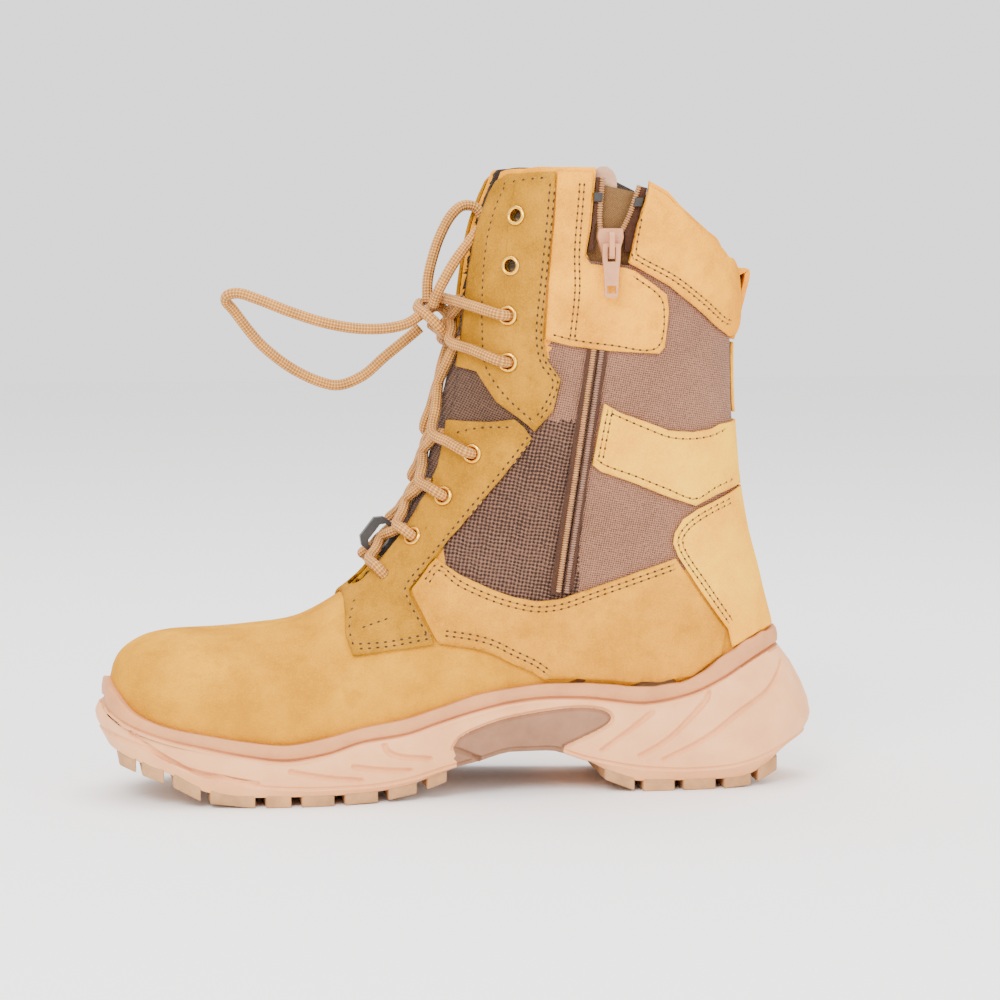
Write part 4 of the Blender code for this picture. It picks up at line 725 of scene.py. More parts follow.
def at_reach(place, reach, height):
    return off_last(place, angle_at(place, reach), height * MM)


def into_eyelet(number, side):
    place, angle = on_side(*EYELETS[number], side)
    point = on_last(place, angle)
    outward = outward_at(place, angle)
    edge_angle = angle_at(place, side * throat_half(place))
    toward = on_last(place, edge_angle) - point
    toward -= outward * np.dot(toward, outward)
    toward /= np.linalg.norm(toward)
    middle = off_last(place, (angle + edge_angle) / 2, 5.4 * MM)
    return [off_last(place, edge_angle, 5.6 * MM), middle, point + outward * 4.9 * MM + toward * 2.9 * MM,
            point + outward * 3.0 * MM + toward * 0.9 * MM, point + outward * 0.6 * MM,
            point - outward * 3.2 * MM]


def strand(crossing, side):
    first, last, height = crossing
    start = on_side(*EYELETS[first], side)[0]
    end = on_side(*EYELETS[last], -side)[0]
    reach = throat_half(start)
    early = 0.75 * start + 0.25 * end
    late = 0.25 * start + 0.75 * end
    tall = max(height, 3.4)
    return [at_reach(start, side * (reach + 2 * MM), -1.4), at_reach(start, side * (reach - 2 * MM), 0.6),
            at_reach(early, side * reach * 0.5, (0.7 + height) / 2 + 0.6),
            off_last((start + end) / 2, 0.0, height * MM + (0.4 * MM if side < 0 else 0.0)),
            at_reach(late, -side * (throat_half(late) - 5 * MM), tall)] + into_eyelet(last, -side)


def lay_laces():
    for number, crossing in enumerate(CROSSINGS):
        bm = bmesh.new()
        for side in (-1, 1):
            points = spline_through(strand(crossing, side), 5)
            tube(bm, points, [LACE / 2] * len(points), 14)
        settle(new_piece("lace_over_tongue_%d" % (number + 1), bm, LACE_FINISH),
               "lace_crossing_%d" % (number + 1), slot="braided_lace")
    bm = bmesh.new()
    for side in (-1, 1):
        place = on_side(*EYELETS[2], side)[0]
        line = [at_reach(place, -side * 1.5 * MM, 9.0), at_reach(place, side * 7 * MM, 7.4)]
        points = spline_through(line + into_eyelet(2, side), 5)
        tube(bm, points, [LACE / 2] * len(points), 14)
    settle(new_piece("lace_to_knot", bm, LACE_FINISH), "lace_top", slot="braided_lace")


lay_laces()


# Eyelets, spun from their profile
def spin_eyelets():
    profile = ((2.65, -1.6), (2.65, 1.9), (2.85, 2.35), (3.25, 2.6), (3.75, 2.5), (4.15, 2.15), (4.2, 1.85))
    for side, label in ((-1, "medial"), (1, "lateral")):
        for number in range(RINGED):
            place, angle = on_side(*EYELETS[number], side)
            point = off_last(place, angle, 0.15 * MM)
            outward = Vector(outward_at(place, angle))
            beside = outward.cross(Vector((0, 0, 1))).normalized()
            bm = bmesh.new()
            row = [bm.verts.new(Vector(point) + (beside * r + outward * h) * MM) for r, h in profile]
            edges = [bm.edges.new(pair) for pair in zip(row, row[1:])]
            bmesh.ops.spin(bm, geom=row + edges, cent=point, axis=outward, angle=2 * math.pi, steps=28,
                           use_merge=True)
            bmesh.ops.remove_doubles(bm, verts=bm.verts, dist=1e-6)
            bmesh.ops.recalc_face_normals(bm, faces=bm.faces)
            bmesh.ops.solidify(bm, geom=bm.faces[:], thickness=0.25 * MM)
            bmesh.ops.recalc_face_normals(bm, faces=bm.faces)
            name = "eyelet_%s_%d" % (label, number + 1)
            piece = new_piece(name + "_ring", bm, BRASS)
            shade(piece, 50)
            settle(piece, name, slot="brass_eyelets")


spin_eyelets()


# The upper and the layers on it
def puffed(base, heights, spots):
    # Nylon panels stand a little proud between the leather that holds them
    x = base[:, 0] / SOLE_LENGTH
    z = base[:, 2] / BOOT_HEIGHT
    lift = np.zeros(len(base))
    for along, up, wide, tall, height in (
            (0.065, 0.450, 0.040, 0.060, 0.25), (0.275, 0.660, 0.070, 0.040, 0.9),
            (0.215, 0.430, 0.045, 0.050, 0.7)):
        lift += height * MM * np.exp(-((x - along) / wide) ** 2 - ((z - up) / tall) ** 2)
    return np.where(heights > -1.0 * MM, lift, 0)


# The front of the toe, where the net over the last stays open
TOE_FRONT = float(FINE[1][:, 0].min())


VAMP, SHAFT, OPEN_MESH, INSIDE, TOP_SUEDE, TONGUE_CLOTH = range(6)


def upper_finish(point, height):
    # Which of the upper's finishes a face takes, by its place in the side view
    along, up = point[0] / SOLE_LENGTH, point[2] / BOOT_HEIGHT
    if height < -0.6 * WALL and point[0] > TOE_FRONT + 8 * MM:
        return INSIDE
    if along < -0.12 or up < 0.29 or (along < -0.03 and up < 0.40) or (along > 0.285 and up < 0.36):
        return VAMP
    if up > 0.86 or (along < 0.11 and up > 0.70):
        return TOP_SUEDE
    if along < 0.10 and 0.585 < up:
        return TONGUE_CLOTH
    if along < 0.152 and up < 0.60:
        return OPEN_MESH
    return SHAFT


def cushioned(base, heights, spots):
    # The collar band swells between its seams
    x = base[:, 0] / SOLE_LENGTH
    z = base[:, 2] / BOOT_HEIGHT
    top = np.interp(x, [0.21, 0.24, 0.288, 0.311, 0.346, 0.38], [0.97, 0.972, 0.934, 0.911, 0.88, 0.85])
    low = np.interp(x, [0.21, 0.223, 0.273, 0.327, 0.352, 0.38], [0.85, 0.844, 0.812, 0.765, 0.742, 0.725])
    share = np.clip((z - low) / np.maximum(top - low, 1e-3), 0, 1)
    round_off = 1.6 * MM * (1 - np.abs(2 * share - 1) ** 4) - 1.7 * MM * np.abs(2 * share - 1) ** 6
    return np.where(heights > 1.5 * MM, round_off, 0)


def tongue_swell(base, heights, spots):
    # The tongue pushes out between the facings
    near = np.exp(-(spots[:, 1] / 0.36) ** 2)
    low = np.clip((base[:, 2] - 0.085) / 0.03, 0, 1) * np.clip((0.21 - base[:, 2]) / 0.03, 0, 1)
    return near * low * 2.2 * MM


def lay_upper():
    soft_copy("upper", "suede_and_nylon_upper", (SUEDE_TOE_SHADED, NYLON_MAIN, NYLON_OPEN, LINING,
                                                  SUEDE_GUARD, NYLON_TONGUE), 3.2,
              puffed, upper_finish, "suede")
    tongue = soft_copy("tongue", "padded_tongue", (NYLON_TONGUE,), 3.5, tongue_swell, slot="woven_nylon")
    footbed = soft_copy("insole", "footbed_lining", (LINING,), 6, slot="textile_lining")
    # Its front half keeps clear of the groove under the rand
    for vertex in footbed.data.vertices:
        drawn = min(max((-0.06 - vertex.co.x) / 0.05, 0), 1)
        vertex.co.x *= 1 - 0.02 * drawn
        vertex.co.y *= 1 - 0.04 * drawn
    for node, finish in (("facing_upper_medial", SUEDE_FACING), ("facing_upper_lateral", SUEDE_FACING),
                         ("facing_lower", SUEDE_FACING), ("quarter_medial", SUEDE_QUARTER),
                         ("quarter_lateral", SUEDE_QUARTER), ("heel_counter", SUEDE_PALE_LIT),
                         ("ankle_strap", SUEDE_PALE_LIT), ("backstay", SUEDE_PALE_LIT),
                         ("zip_guard", SUEDE_GUARD), ("collar_side_lateral", SUEDE_GUARD)):
        soft_copy(node, node + "_suede", (finish,), 3.2, slot="suede")
    band = soft_copy("collar_pad", "collar_band", (SUEDE_GUARD,), 2.6, cushioned, slot="suede")
    for node in ("zip_tape_front", "zip_tape_rear", "zip_edge_front", "zip_edge_rear"):
        piece = soft_copy(node, node + "_cloth", (TAPE,), 3.0, slot="woven_nylon")
        if "tape" in node:
            for vertex in piece.data.vertices:
                if vertex.co.z > 183 * MM:
                    vertex.co += Vector((0.35 * MM, 0, 3.6 * MM))
    soft_copy("zip_gusset", "zip_gusset_cloth", (GUSSET,), 3.0, slot="woven_nylon")


lay_upper()
for label in ("front", "rear"):
    NODES["zip_stop_" + label].data.materials[0] = BLACK
for node in ("zip_slider", "zip_pull"):
    NODES[node].data.materials[0] = PAINTED
NODES["lace_keeper"].data.materials[0] = BLACK


# Seams: needle holes, dark beads of painted shade, in rows with thread between them
TREES = {}


def surface_tree(name):
    # A tree for finding points on one piece, made at its first use
    if name not in TREES:
        bm = bmesh.new()
        bm.from_mesh(bpy.data.objects[name].data)
        TREES[name] = BVHTree.FromBMesh(bm)
        bm.free()
    return TREES[name]


def drawn_in(line, distance):
    # An open line moved to its left by a distance, both in metres
    line = np.array(line)
    run = np.gradient(line, axis=0)
    left = np.stack([-run[:, 1], run[:, 0]], axis=1)
    left /= np.linalg.norm(left, axis=1)[:, None]
    return line + left * distance


SEAMS = (
    ("facing_upper_{}_suede", 3.0, ((0.056, 0.972), (0.044, 0.940), (0.032, 0.890), (0.025, 0.820),
     (0.024, 0.740), (0.028, 0.685), (0.052, 0.640), (0.088, 0.600)), (0,)),
    ("facing_upper_{}_suede", 3.0, ((0.050, 0.972), (0.070, 0.979), (0.105, 0.984)), (0,)),
    ("facing_upper_{}_suede", 3.2, ((0.092, 0.606), (0.106, 0.632), (0.114, 0.663), (0.099, 0.690),
     (0.092, 0.730), (0.098, 0.828), (0.106, 0.927), (0.110, 0.978)), (0, -1.9)),
    ("facing_lower_suede", 3.2, ((-0.012, 0.578), (0.020, 0.588), (0.060, 0.590)), (0,)),
    ("facing_lower_suede", 3.2, ((0.084, 0.578), (0.046, 0.517), (0.004, 0.457), (-0.046, 0.387),
     (-0.083, 0.335), (-0.080, 0.318), (-0.056, 0.262)), (0, 1.9)),
    ("facing_lower_suede", 3.2, ((-0.152, 0.244), (-0.110, 0.247), (-0.052, 0.258)), (0, 1.9)),
    ("facing_lower_suede", 3.2, ((-0.156, 0.246), (-0.160, 0.270), (-0.157, 0.292), (-0.148, 0.318)), (0,)),
    ("facing_lower_suede", 3.2, ((-0.146, 0.274), (-0.106, 0.290)), (0,)),
    ("quarter_{}_suede", 3.2, ((-0.058, 0.345), (-0.040, 0.371), (-0.009, 0.346), (0.033, 0.323),
     (0.064, 0.311), (0.095, 0.304), (0.126, 0.307), (0.173, 0.325), (0.233, 0.349), (0.280, 0.368)),
     (0, -2.0)),
    ("quarter_{}_suede", 3.2, ((-0.035, 0.262), (0.006, 0.254), (0.032, 0.245), (0.064, 0.226),
     (0.090, 0.211), (0.108, 0.196)), (0, 2.0)),
    ("heel_counter_suede", 3.2, ((0.372, 0.470), (0.345, 0.460), (0.318, 0.446), (0.299, 0.430),
     (0.289, 0.412), (0.291, 0.392), (0.328, 0.327), (0.362, 0.272)), (0, 2.0)),
    ("ankle_strap_suede", 3.2, ((0.378, 0.500), (0.345, 0.489), (0.313, 0.473), (0.271, 0.491),
     (0.227, 0.512), (0.184, 0.531), (0.176, 0.538)), (0,)),
    ("ankle_strap_suede", 3.2, ((0.176, 0.538), (0.188, 0.617)), (0, -1.9)),
    ("ankle_strap_suede", 3.2, ((0.190, 0.614), (0.243, 0.587), (0.275, 0.573), (0.308, 0.569),
     (0.338, 0.572), (0.362, 0.580)), (0,)),
    ("zip_guard_suede", 3.0, ((0.154, 0.978), (0.152, 0.947), (0.147, 0.867), (0.148, 0.808),
     (0.142, 0.730)), (0, -1.9)),
    ("zip_guard_suede", 3.0, ((0.111, 0.738), (0.142, 0.729), (0.190, 0.721), (0.255, 0.716),
     (0.264, 0.774), (0.258, 0.796), (0.222, 0.828)), (0,)),
    ("collar_side_lateral_suede", 3.0, ((0.111, 0.738), (0.142, 0.729), (0.190, 0.721), (0.255, 0.716),
     (0.264, 0.774), (0.258, 0.796), (0.222, 0.828)), (0,)),
    ("collar_side_lateral_suede", 3.0, ((0.154, 0.978), (0.152, 0.947), (0.147, 0.867), (0.148, 0.808),
     (0.142, 0.730)), (0, -1.9)),
    ("collar_band", 3.0, ((0.231, 0.958), (0.222, 0.914), (0.217, 0.862), (0.226, 0.853),
     (0.276, 0.822), (0.329, 0.777), (0.352, 0.756), (0.366, 0.748)), (0, 1.9)),
)


HOLE = (0.74, 0.48, 0.16)
STITCH = (1.05, 0.30, 0.20)
STITCH_FACES = (6, 4)


def sew():
    holes = bmesh.new()
    threads = bmesh.new()
    for pattern, pitch, line, rows in SEAMS:
        for side, label in ((-1, "medial"), (1, "lateral")):
            name = pattern.format(label)
            if (name.startswith("zip_guard") and side > 0) or ("lateral" in name and side < 0):
                continue
            tree = surface_tree(name)
            points = spline_through(in_metres(line), 6)
            for row in rows:
                shifted = drawn_in(points, row * MM)
                spots, runs = even_steps(shifted, pitch * MM)
                hole_row = bmesh.new()
                thread_row = bmesh.new()
                for spot, run in zip(spots, runs):
                    start = Vector((spot[0], side * BESIDE, spot[1]))
                    hit, normal = tree.ray_cast(start, Vector((0, -side, 0)))[:2]
                    if hit is None:
                        continue
                    ahead = Vector((run[0], 0, run[1]))
                    ahead = (ahead - normal * ahead.dot(normal)).normalized()
                    lay_bead(hole_row, hit + normal * 0.02 * MM, ahead, normal, HOLE, STITCH_FACES)
                    between = hit + ahead * pitch * 0.5 * MM
                    lay_bead(thread_row, between + normal * 0.05 * MM, ahead, normal, STITCH, STITCH_FACES)
                poured_in(holes, hole_row)
                poured_in(threads, thread_row)
    settle(new_piece("needle_hole_shadows", holes, HOLE_SHADE))
    settle(new_piece("seam_threads", threads, THREAD))


sew()


# The zip: two rows of coil between its tapes
ZIP_LINE = ((0.1737, 0.714), (0.1520, 0.517), (0.1290, 0.326))
ZIP_FORK_FRONT = ((0.1760, 0.900), (0.1748, 0.925), (0.1790, 0.985))
ZIP_FORK_REAR = ((0.2045, 0.900), (0.2150, 0.925), (0.2285, 0.972))


COIL_FACES = (8, 5)
COIL_PITCH = 1.0


def coil_row(whole, line, shift, size, height):
    bm = bmesh.new()
    points = spline_through(in_metres(line), 8)
    spots, runs = even_steps(drawn_in(points, shift * MM), COIL_PITCH * MM)
    for spot, run in zip(spots, runs):
        place, angle = on_side(spot[0] / SOLE_LENGTH, spot[1] / BOOT_HEIGHT, -1)
        outward = Vector(outward_at(place, angle))
        there = Vector(off_last(place, angle, height * MM))
        lay_bead(bm, there, Vector((run[0], 0, run[1])), outward, size, COIL_FACES)
    poured_in(whole, bm)


def build_coil():
    bm = bmesh.new()
    coil_row(bm, ZIP_LINE, 1.75, (0.56, 1.2, 0.75), 1.55)
    for face in bm.faces:
        face.smooth = True
    settle(new_piece("zip_coil_rear", bm, COIL_DARK))
    bm = bmesh.new()
    coil_row(bm, ZIP_LINE, -1.7, (0.56, 1.3, 0.75), 1.55)
    coil_row(bm, ZIP_FORK_FRONT, 0.0, (0.56, 1.3, 0.7), 0.4)
    coil_row(bm, ZIP_FORK_REAR, 0.0, (0.56, 1.3, 0.7), 0.4)
    for face in bm.faces:
        face.smooth = True
    settle(new_piece("zip_coil_front", bm, COIL))


build_coil()


# The sole
SOLE_OUTLINE = (
    (-0.500, -0.073, -0.073), (-0.481, -0.275, 0.128), (-0.442, -0.385, 0.257),
    (-0.378, -0.459, 0.367), (-0.295, -0.495, 0.450), (-0.208, -0.500, 0.495),
    (-0.112, -0.450, 0.500), (-0.016, -0.385, 0.468), (0.096, -0.349, 0.413),
    (0.208, -0.339, 0.367), (0.321, -0.349, 0.358), (0.401, -0.330, 0.339),
    (0.458, -0.239, 0.248), (0.500, 0.000, 0.000))
SOLE_SIDE = (
    (-0.500, 0.190, 0.158, 0.136, 0.115, 0.068, 0.050), (-0.481, 0.177, 0.143, 0.128, 0.109, 0.062, 0.045),
    (-0.449, 0.145, 0.124, 0.111, 0.098, 0.051, 0.038), (-0.404, 0.126, 0.107, 0.090, 0.075, 0.034, 0.034),
    (-0.359, 0.116, 0.096, 0.075, 0.054, 0.009, 0.034), (-0.304, 0.105, 0.083, 0.060, 0.038, 0.000, 0.034),
    (-0.250, 0.098, 0.075, 0.054, 0.032, 0.000, 0.034), (-0.199, 0.107, 0.083, 0.056, 0.030, 0.000, 0.034),
    (-0.144, 0.122, 0.101, 0.066, 0.030, 0.001, 0.034), (-0.087, 0.132, 0.109, 0.072, 0.036, 0.008, 0.034),
    (-0.038, 0.148, 0.126, 0.088, 0.050, 0.024, 0.034), (0.016, 0.167, 0.143, 0.103, 0.064, 0.046, 0.034),
    (0.064, 0.175, 0.154, 0.114, 0.077, 0.055, 0.034), (0.112, 0.180, 0.158, 0.116, 0.077, 0.055, 0.034),
    (0.160, 0.179, 0.156, 0.109, 0.060, 0.040, 0.034), (0.199, 0.175, 0.150, 0.101, 0.049, 0.016, 0.034),
    (0.244, 0.169, 0.143, 0.094, 0.040, 0.000, 0.040), (0.304, 0.177, 0.154, 0.094, 0.036, 0.000, 0.050),
    (0.353, 0.214, 0.180, 0.098, 0.038, 0.000, 0.060), (0.391, 0.237, 0.203, 0.101, 0.045, 0.002, 0.070),
    (0.433, 0.250, 0.220, 0.105, 0.060, 0.018, 0.075), (0.468, 0.252, 0.226, 0.107, 0.075, 0.040, 0.070),
    (0.500, 0.252, 0.226, 0.107, 0.083, 0.060, 0.070))
SIDE_TABLE = np.array(SOLE_SIDE)
SIDE_CURVES = [smooth_curve(SIDE_TABLE[:, 0] * SOLE_LENGTH, SIDE_TABLE[:, k]) for k in range(7)]
LUG_ROWS = (
    (-0.470, -0.448), (-0.441, -0.412), (-0.400, -0.364), (-0.352, -0.292), (-0.278, -0.244),
    (-0.230, -0.186), (-0.172, -0.126), (-0.112, -0.072), (-0.058, -0.030), (0.190, 0.232),
    (0.244, 0.288), (0.300, 0.346), (0.358, 0.398), (0.408, 0.440))
LUG_COLUMNS = ((0, 0.27), (0.36, 0.64), (0.73, 1))
SOLE_GROOVES = (
    ((-0.022, 0.083), (-0.013, 0.098), (0.037, 0.122), (0.092, 0.134), (0.144, 0.140), (0.180, 0.137),
     (0.194, 0.130), (0.198, 0.122), (0.192, 0.112), (0.133, 0.078)),
    ((-0.022, 0.083), (0.014, 0.064)),
    ((-0.118, 0.094), (-0.113, 0.084), (-0.099, 0.076), (-0.055, 0.068)),
    ((-0.245, 0.059), (-0.200, 0.048), (-0.150, 0.040)),
    ((-0.160, 0.063), (-0.120, 0.055), (-0.082, 0.051)),
    ((0.255, 0.130), (0.220, 0.100), (0.185, 0.070)),
    ((0.333, 0.160), (0.330, 0.149), (0.298, 0.110), (0.268, 0.080), (0.238, 0.060)),
    ((0.446, 0.200), (0.441, 0.190), (0.419, 0.160), (0.377, 0.129), (0.328, 0.087), (0.271, 0.053)),
    ((-0.455, 0.117), (-0.426, 0.092), (-0.380, 0.062), (-0.332, 0.050), (-0.290, 0.040)))


ARCH_FOOT = ((0.125, 0.02), (-0.01, 0.02))


def side_height(row, along):
    return SIDE_CURVES[row](along) * BOOT_HEIGHT


def sole_rows():
    lateral = [(a * SOLE_LENGTH, w * SOLE_WIDTH) for a, _, w in SOLE_OUTLINE]
    medial = [(a * SOLE_LENGTH, w * SOLE_WIDTH) for a, w, _ in SOLE_OUTLINE[1:-1]]
    loop = spline_through(lateral + medial[::-1], 9, closed=True)
    tangent = np.roll(loop, -1, axis=0) - np.roll(loop, 1, axis=0)
    outward = np.stack([-tangent[:, 1], tangent[:, 0]], axis=1)
    outward /= np.linalg.norm(outward, axis=1)[:, None]
    if np.sum((loop - loop.mean(axis=0)) * outward) < 0:
        outward = -outward
    rim = []
    for point, out in zip(loop, outward):
        start = Vector((*(point + out * 0.05), float(side_height(1, point[0]))))
        hit = FINE[0].ray_cast(start, Vector((-out[0], -out[1], 0)))[0]
        rim.append((hit.x, hit.y))
    along = loop[:, 0]
    rim = np.array(rim)
    # At the tip of the toe the rim runs on across the open front of the last
    reach = np.hypot(*(loop - rim).T)
    missed = (along < 0) & (reach > 1.6 * np.median(reach[along < 0]))
    open_front = missed.copy()
    for step in (-2, -1, 1, 2):
        open_front |= np.roll(missed, step)
    closed = np.flatnonzero(~open_front)
    order = np.arange(len(loop))
    width = max(float(np.ptp(loop[open_front, 1])), MM) if open_front.any() else MM
    middle = float(loop[open_front, 1].mean()) if open_front.any() else 0.0
    for axis in (0, 1):
        rim[:, axis] = np.interp(order, closed, rim[closed, axis], period=len(loop))
    rim[open_front, 0] -= 1.5 * MM * np.clip(1 - (2 * (loop[open_front, 1] - middle) / width) ** 2, 0, 1)
    rim_z, groove, belly, edge, ground = [side_height(k, along) for k in (1, 2, 3, 4, 5)]
    tuck = (SIDE_CURVES[6](along) * SOLE_WIDTH)[:, None]
    top = rim + outward * (RAND + GAP)
    panel = top + outward * MM
    drop = groove - belly
    low = ground + LUG_HEIGHT
    deep = ((0.5 + 1.2 * np.clip((along + 0.13) / 0.05, 0, 1)) * MM)[:, None]
    wrinkle = 0.35 * MM * np.sin(along / MM / 1.9) * np.clip((along - 0.05) / 0.05, 0, 1)

    def level(plan, height):
        return np.stack([plan[:, 0], plan[:, 1], height], axis=1)

    return [
        level(top - outward * 9 * MM, rim_z - 7 * MM), level(top - outward * 4.4 * MM, rim_z - 0.8 * MM),
        level(top - outward * 3.2 * MM, rim_z + wrinkle), level(top - outward * 0.7 * MM, rim_z + wrinkle),
        level(top - outward * 0.1 * MM, rim_z - 0.7 * MM),
        level(top + outward * 0.5 * MM, (rim_z + groove) / 2),
        level(top + outward * 0.5 * MM, groove + 1.3 * MM),
        level(top + outward * 0.1 * MM, groove + 0.7 * MM),
        level(top - outward * deep, groove + 0.4 * MM), level(top - outward * deep, groove - 0.4 * MM),
        level(panel - outward * 0.6 * MM, groove - 0.9 * MM),
        level(panel + outward * 0.1 * MM, groove - 1.7 * MM),
        level(0.62 * panel + 0.38 * loop, belly + 0.72 * drop),
        level(0.3 * panel + 0.7 * loop, belly + 0.45 * drop),
        level(0.08 * panel + 0.92 * loop, belly + 0.2 * drop),
        level(loop, belly), level(loop - outward * 0.1 * tuck, 0.5 * (belly + edge)),
        level(loop - outward * 0.25 * tuck, edge + 1.0 * MM),
        level(loop - outward * (0.25 * tuck + 0.9 * MM), edge + 0.4 * MM),
        level(loop - outward * (0.25 * tuck + 1.0 * MM), edge - 0.3 * MM),
        level(loop - outward * 0.32 * tuck, edge - 1.0 * MM),
        level(loop - outward * tuck, np.minimum(low, edge - 1.6 * MM))]


def ring_of(bm, points):
    # A closed edge loop laid on a circle of as many steps
    made = bmesh.ops.create_circle(bm, cap_ends=False, segments=len(points), radius=1.0)["verts"]
    for vertex, point in zip(made, points):
        vertex.co = point
    return made


def inside_line(x, z, line):
    # Whether a side view point lies inside a line that closes on itself
    crossings = 0
    for (xa, za), (xb, zb) in zip(line, np.roll(line, -1, axis=0)):
        if (za > z) != (zb > z) and x < xa + (z - za) / (zb - za) * (xb - xa):
            crossings += 1
    return crossings % 2 == 1


def sink_grooves(bm, lines):
    # Cuts the side finely along each groove, then presses it in
    for longest, reach in ((5.0, 6.0), (2.4, 3.5), (1.2, 2.4), (0.7, 1.8), (0.6, 1.5)):
        edges = [e for e in bm.edges if e.calc_length() > longest * MM]
        middles = np.array([tuple((e.verts[0].co + e.verts[1].co) / 2) for e in edges])
        lengths = np.array([e.calc_length() for e in edges])
        away = away_from(middles[:, 0], middles[:, 2], lines)
        near = [e for e, d, l in zip(edges, away, lengths) if d < reach * MM + l / 2]
        bmesh.ops.subdivide_edges(bm, edges=near, cuts=1)
        bmesh.ops.triangulate(bm, faces=[f for f in bm.faces if len(f.verts) > 3],
                              quad_method="SHORT_EDGE")
    bm.normal_update()
    verts = list(bm.verts)
    places = np.array([tuple(v.co) for v in verts])
    away = away_from(places[:, 0], places[:, 2], lines) / MM
    depth = 1.6 * np.clip(1.3 - away / 0.95, 0, 1) ** 0.7
    for vertex, deep in zip(verts, depth):
        if deep > 0 and abs(vertex.normal.z) < 0.9:
            vertex.co -= vertex.normal * float(deep) * MM


def build_sole():
    bm = bmesh.new()
    rings = [ring_of(bm, row) for row in sole_rows()]
    loops = [ring_edges(ring) for ring in rings]
    for near, far in zip(loops, loops[1:]):
        bmesh.ops.bridge_loops(bm, edges=near + far)
    for ring in (loops[0], loops[-1]):
        bmesh.ops.triangle_fill(bm, use_beauty=True, edges=ring)
    bmesh.ops.recalc_face_normals(bm, faces=bm.faces)
    for face in bm.faces:
        face.material_index = 1 if face.calc_center_median().z > side_height(
            2, face.calc_center_median().x) - 0.2 * MM else 0
    bmesh.ops.triangulate(bm, faces=bm.faces[:])
    lines = [spline_through(in_metres(line), 5) for line in SOLE_GROOVES]
    arch = np.concatenate([lines[0], in_metres(ARCH_FOOT)])
    sink_grooves(bm, lines)
    # Faces inside the arch groove take the painted shade of the sunk arch
    for face in bm.faces:
        middle = face.calc_center_median()
        if face.material_index == 0 and inside_line(middle.x, middle.z, arch):
            face.material_index = 2
    piece = new_piece("moulded_sole", bm, SOLE_RUBBER, SOLE_RAND, SOLE_ARCH_SHADE)
    shade(piece, 35)
    settle(piece, "outsole", slot="rubber_sole")


def build_lugs():
    bm = bmesh.new()
    rows = sole_rows()
    edge = rows[-1]
    half = len(edge) // 2
    lateral = edge[:half + 1]
    medial = np.concatenate([edge[:1], edge[half:][::-1]])

    def reach(line, along):
        order = np.argsort(line[:, 0])
        return np.interp(along, line[order, 0], line[order, 1])

    for start, end in LUG_ROWS:
        for near, far in LUG_COLUMNS:
            corners = []
            for along in (start * SOLE_LENGTH, end * SOLE_LENGTH):
                inner, outer = reach(medial, along), reach(lateral, along)
                grow = 0.6 * MM
                low, high = inner - grow, outer + grow
                corners += [(along, low + (high - low) * near), (along, low + (high - low) * far)]
            made = bmesh.ops.create_cube(bm, size=1.0)["verts"]
            for vertex in made:
                first = vertex.co.x < 0
                spot = corners[(0 if first else 2) + (0 if vertex.co.y < 0 else 1)]
                ground = float(side_height(5, spot[0]))
                vertex.co = (spot[0], spot[1], ground if vertex.co.z < 0 else ground + LUG_HEIGHT + 2.5 * MM)
            edges = {e for v in made for e in v.link_edges}
            bmesh.ops.bevel(bm, geom=list(edges), offset=0.8 * MM, offset_type="OFFSET", affect="EDGES",
                            segments=2, profile=0.5, material=-1)
    piece = new_piece("tread_lugs", bm, LUG_RUBBER)
    shade(piece, 35)
    settle(piece, slot="rubber_sole")


build_sole()
build_lugs()


# The pull loop behind the collar: two layers of one folded strip
def build_pull_loop():
    line = ((0.3795, 0.722), (0.3880, 0.762), (0.3965, 0.802), (0.4010, 0.824), (0.4000, 0.835),
            (0.3920, 0.838), (0.3820, 0.833))
    points = spline_through([(a * SOLE_LENGTH + 1.2 * MM, u * BOOT_HEIGHT) for a, u in line], 5)
    bm = bmesh.new()
    row = [bm.verts.new((x, -9.2 * MM, z)) for x, z in points]
    for pair in zip(row, row[1:]):
        bm.edges.new(pair)
    moved = bmesh.ops.extrude_edge_only(bm, edges=bm.edges[:])["geom"]
    bmesh.ops.translate(bm, vec=(0, 18.4 * MM, 0),
                        verts=[g for g in moved if isinstance(g, bmesh.types.BMVert)])
    bmesh.ops.recalc_face_normals(bm, faces=bm.faces)
    bmesh.ops.solidify(bm, geom=bm.faces[:], thickness=2.2 * MM)
    bmesh.ops.recalc_face_normals(bm, faces=bm.faces)
    piece = new_piece("heel_pull_loop", bm, SUEDE_GUARD)
    shade(piece, 40)
    settle(piece, "pull_loop", slot="suede")


build_pull_loop()
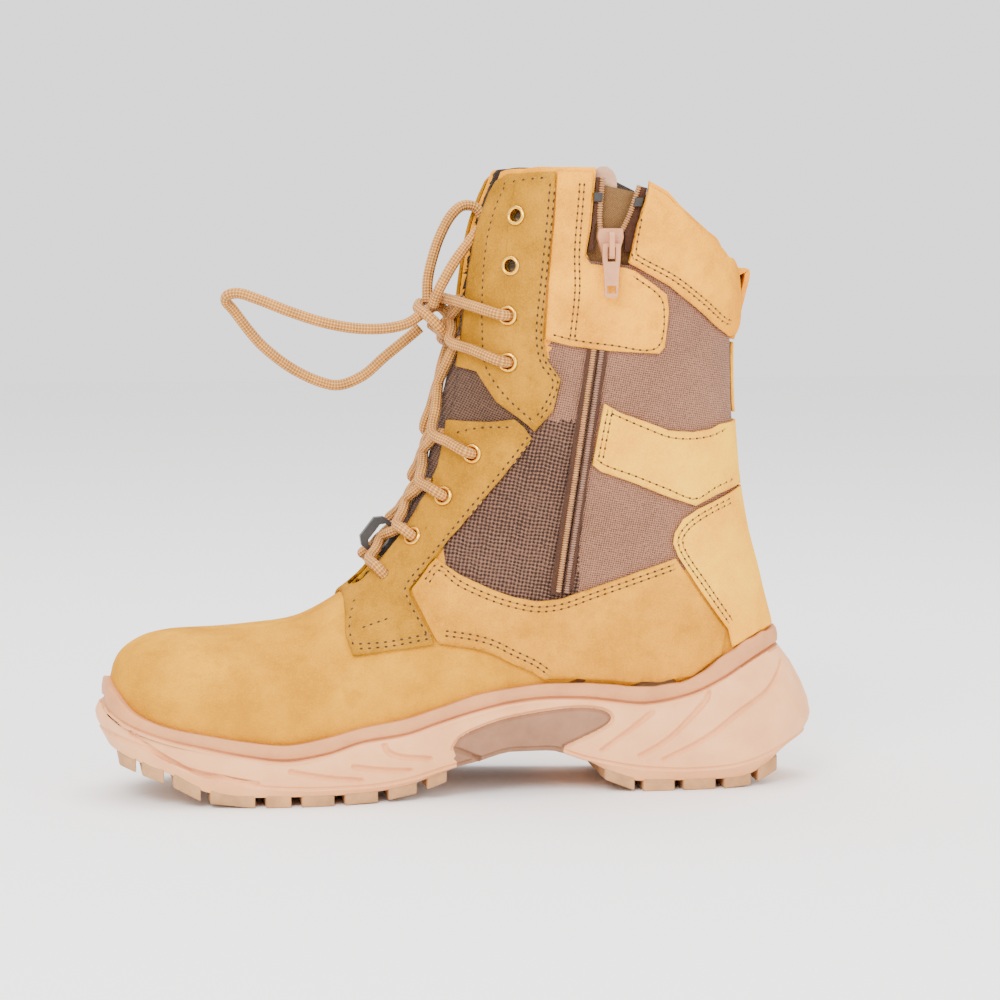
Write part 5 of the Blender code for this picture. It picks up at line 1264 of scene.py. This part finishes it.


# The lining flap that stands up behind the notch, and dark discs of painted shadow behind the two empty
# eyelets
def build_flap():
    bm = bmesh.new()
    bmesh.ops.create_grid(bm, x_segments=8, y_segments=14, size=0.5)
    for vertex in bm.verts:
        across, up = vertex.co.x * 2, vertex.co.y + 0.5
        narrow = math.sqrt(max(1 - max(up - 0.72, 0) ** 2 / 0.085, 0.05))
        x = 56.5 * MM + across * narrow * 6.0 * MM
        z = (240 + 26.5 * up) * MM
        place, angle = on_side(x / SOLE_LENGTH, z / BOOT_HEIGHT, -1)
        vertex.co = off_last(place, angle, (-5.6 + 0.8 * up) * MM)
    bmesh.ops.recalc_face_normals(bm, faces=bm.faces)
    bmesh.ops.solidify(bm, geom=bm.faces[:], thickness=1.2 * MM)
    bmesh.ops.recalc_face_normals(bm, faces=bm.faces)
    piece = new_piece("lining_flap", bm, FLAP)
    shade(piece, 60)
    settle(piece, slot="textile_lining")


def shade_empty_eyelets():
    bm = bmesh.new()
    for side in (-1, 1):
        for number in (0, 1):
            place, angle = on_side(*EYELETS[number], side)
            outward = Vector(outward_at(place, angle))
            turn = outward.to_track_quat("Z", "Y").to_matrix().to_4x4()
            bmesh.ops.create_circle(bm, cap_ends=True, segments=24, radius=4.4 * MM,
                                    matrix=Matrix.Translation(off_last(place, angle, -1.9 * MM)) @ turn)
    bmesh.ops.solidify(bm, geom=bm.faces[:], thickness=0.3 * MM)
    bmesh.ops.recalc_face_normals(bm, faces=bm.faces)
    # The near black discs are painted shadow inside the holes of the empty eyelets
    settle(new_piece("eyelet_backing_tape", bm, BLACK))


build_flap()
shade_empty_eyelets()


# Light and floor
LIT_POINT = (0, 0, 0.1)
SKY_STRENGTH = 1.7


def light(name, place, size, power):
    data = bpy.data.lights.new(name, "AREA")
    data.energy = power
    data.size = size
    lamp = bpy.data.objects.new(name, data)
    bpy.context.collection.objects.link(lamp)
    lamp.location = place
    lamp.rotation_euler = (Vector(LIT_POINT) - Vector(place)).to_track_quat("-Z", "Y").to_euler()


def build_studio():
    bm = bmesh.new()
    bmesh.ops.create_grid(bm, x_segments=2, y_segments=2, size=3.0)
    floor = new_piece("studio_floor", bm, start_finish("pale_paper", "#F7F6F5", 0.9)[0])
    light("key_light", (-0.6, -1.3, 1.2), 0.8, 36)
    light("fill_light", (1.0, -1.1, 0.6), 1.0, 13)
    light("top_light", (0.0, 0.3, 1.6), 1.2, 25)
    world = bpy.data.worlds.new("studio_world")
    world.use_nodes = True
    world.node_tree.nodes["Background"].inputs[0].default_value = (1, 1, 1, 1)
    world.node_tree.nodes["Background"].inputs[1].default_value = SKY_STRENGTH
    bpy.context.scene.world = world


build_studio()
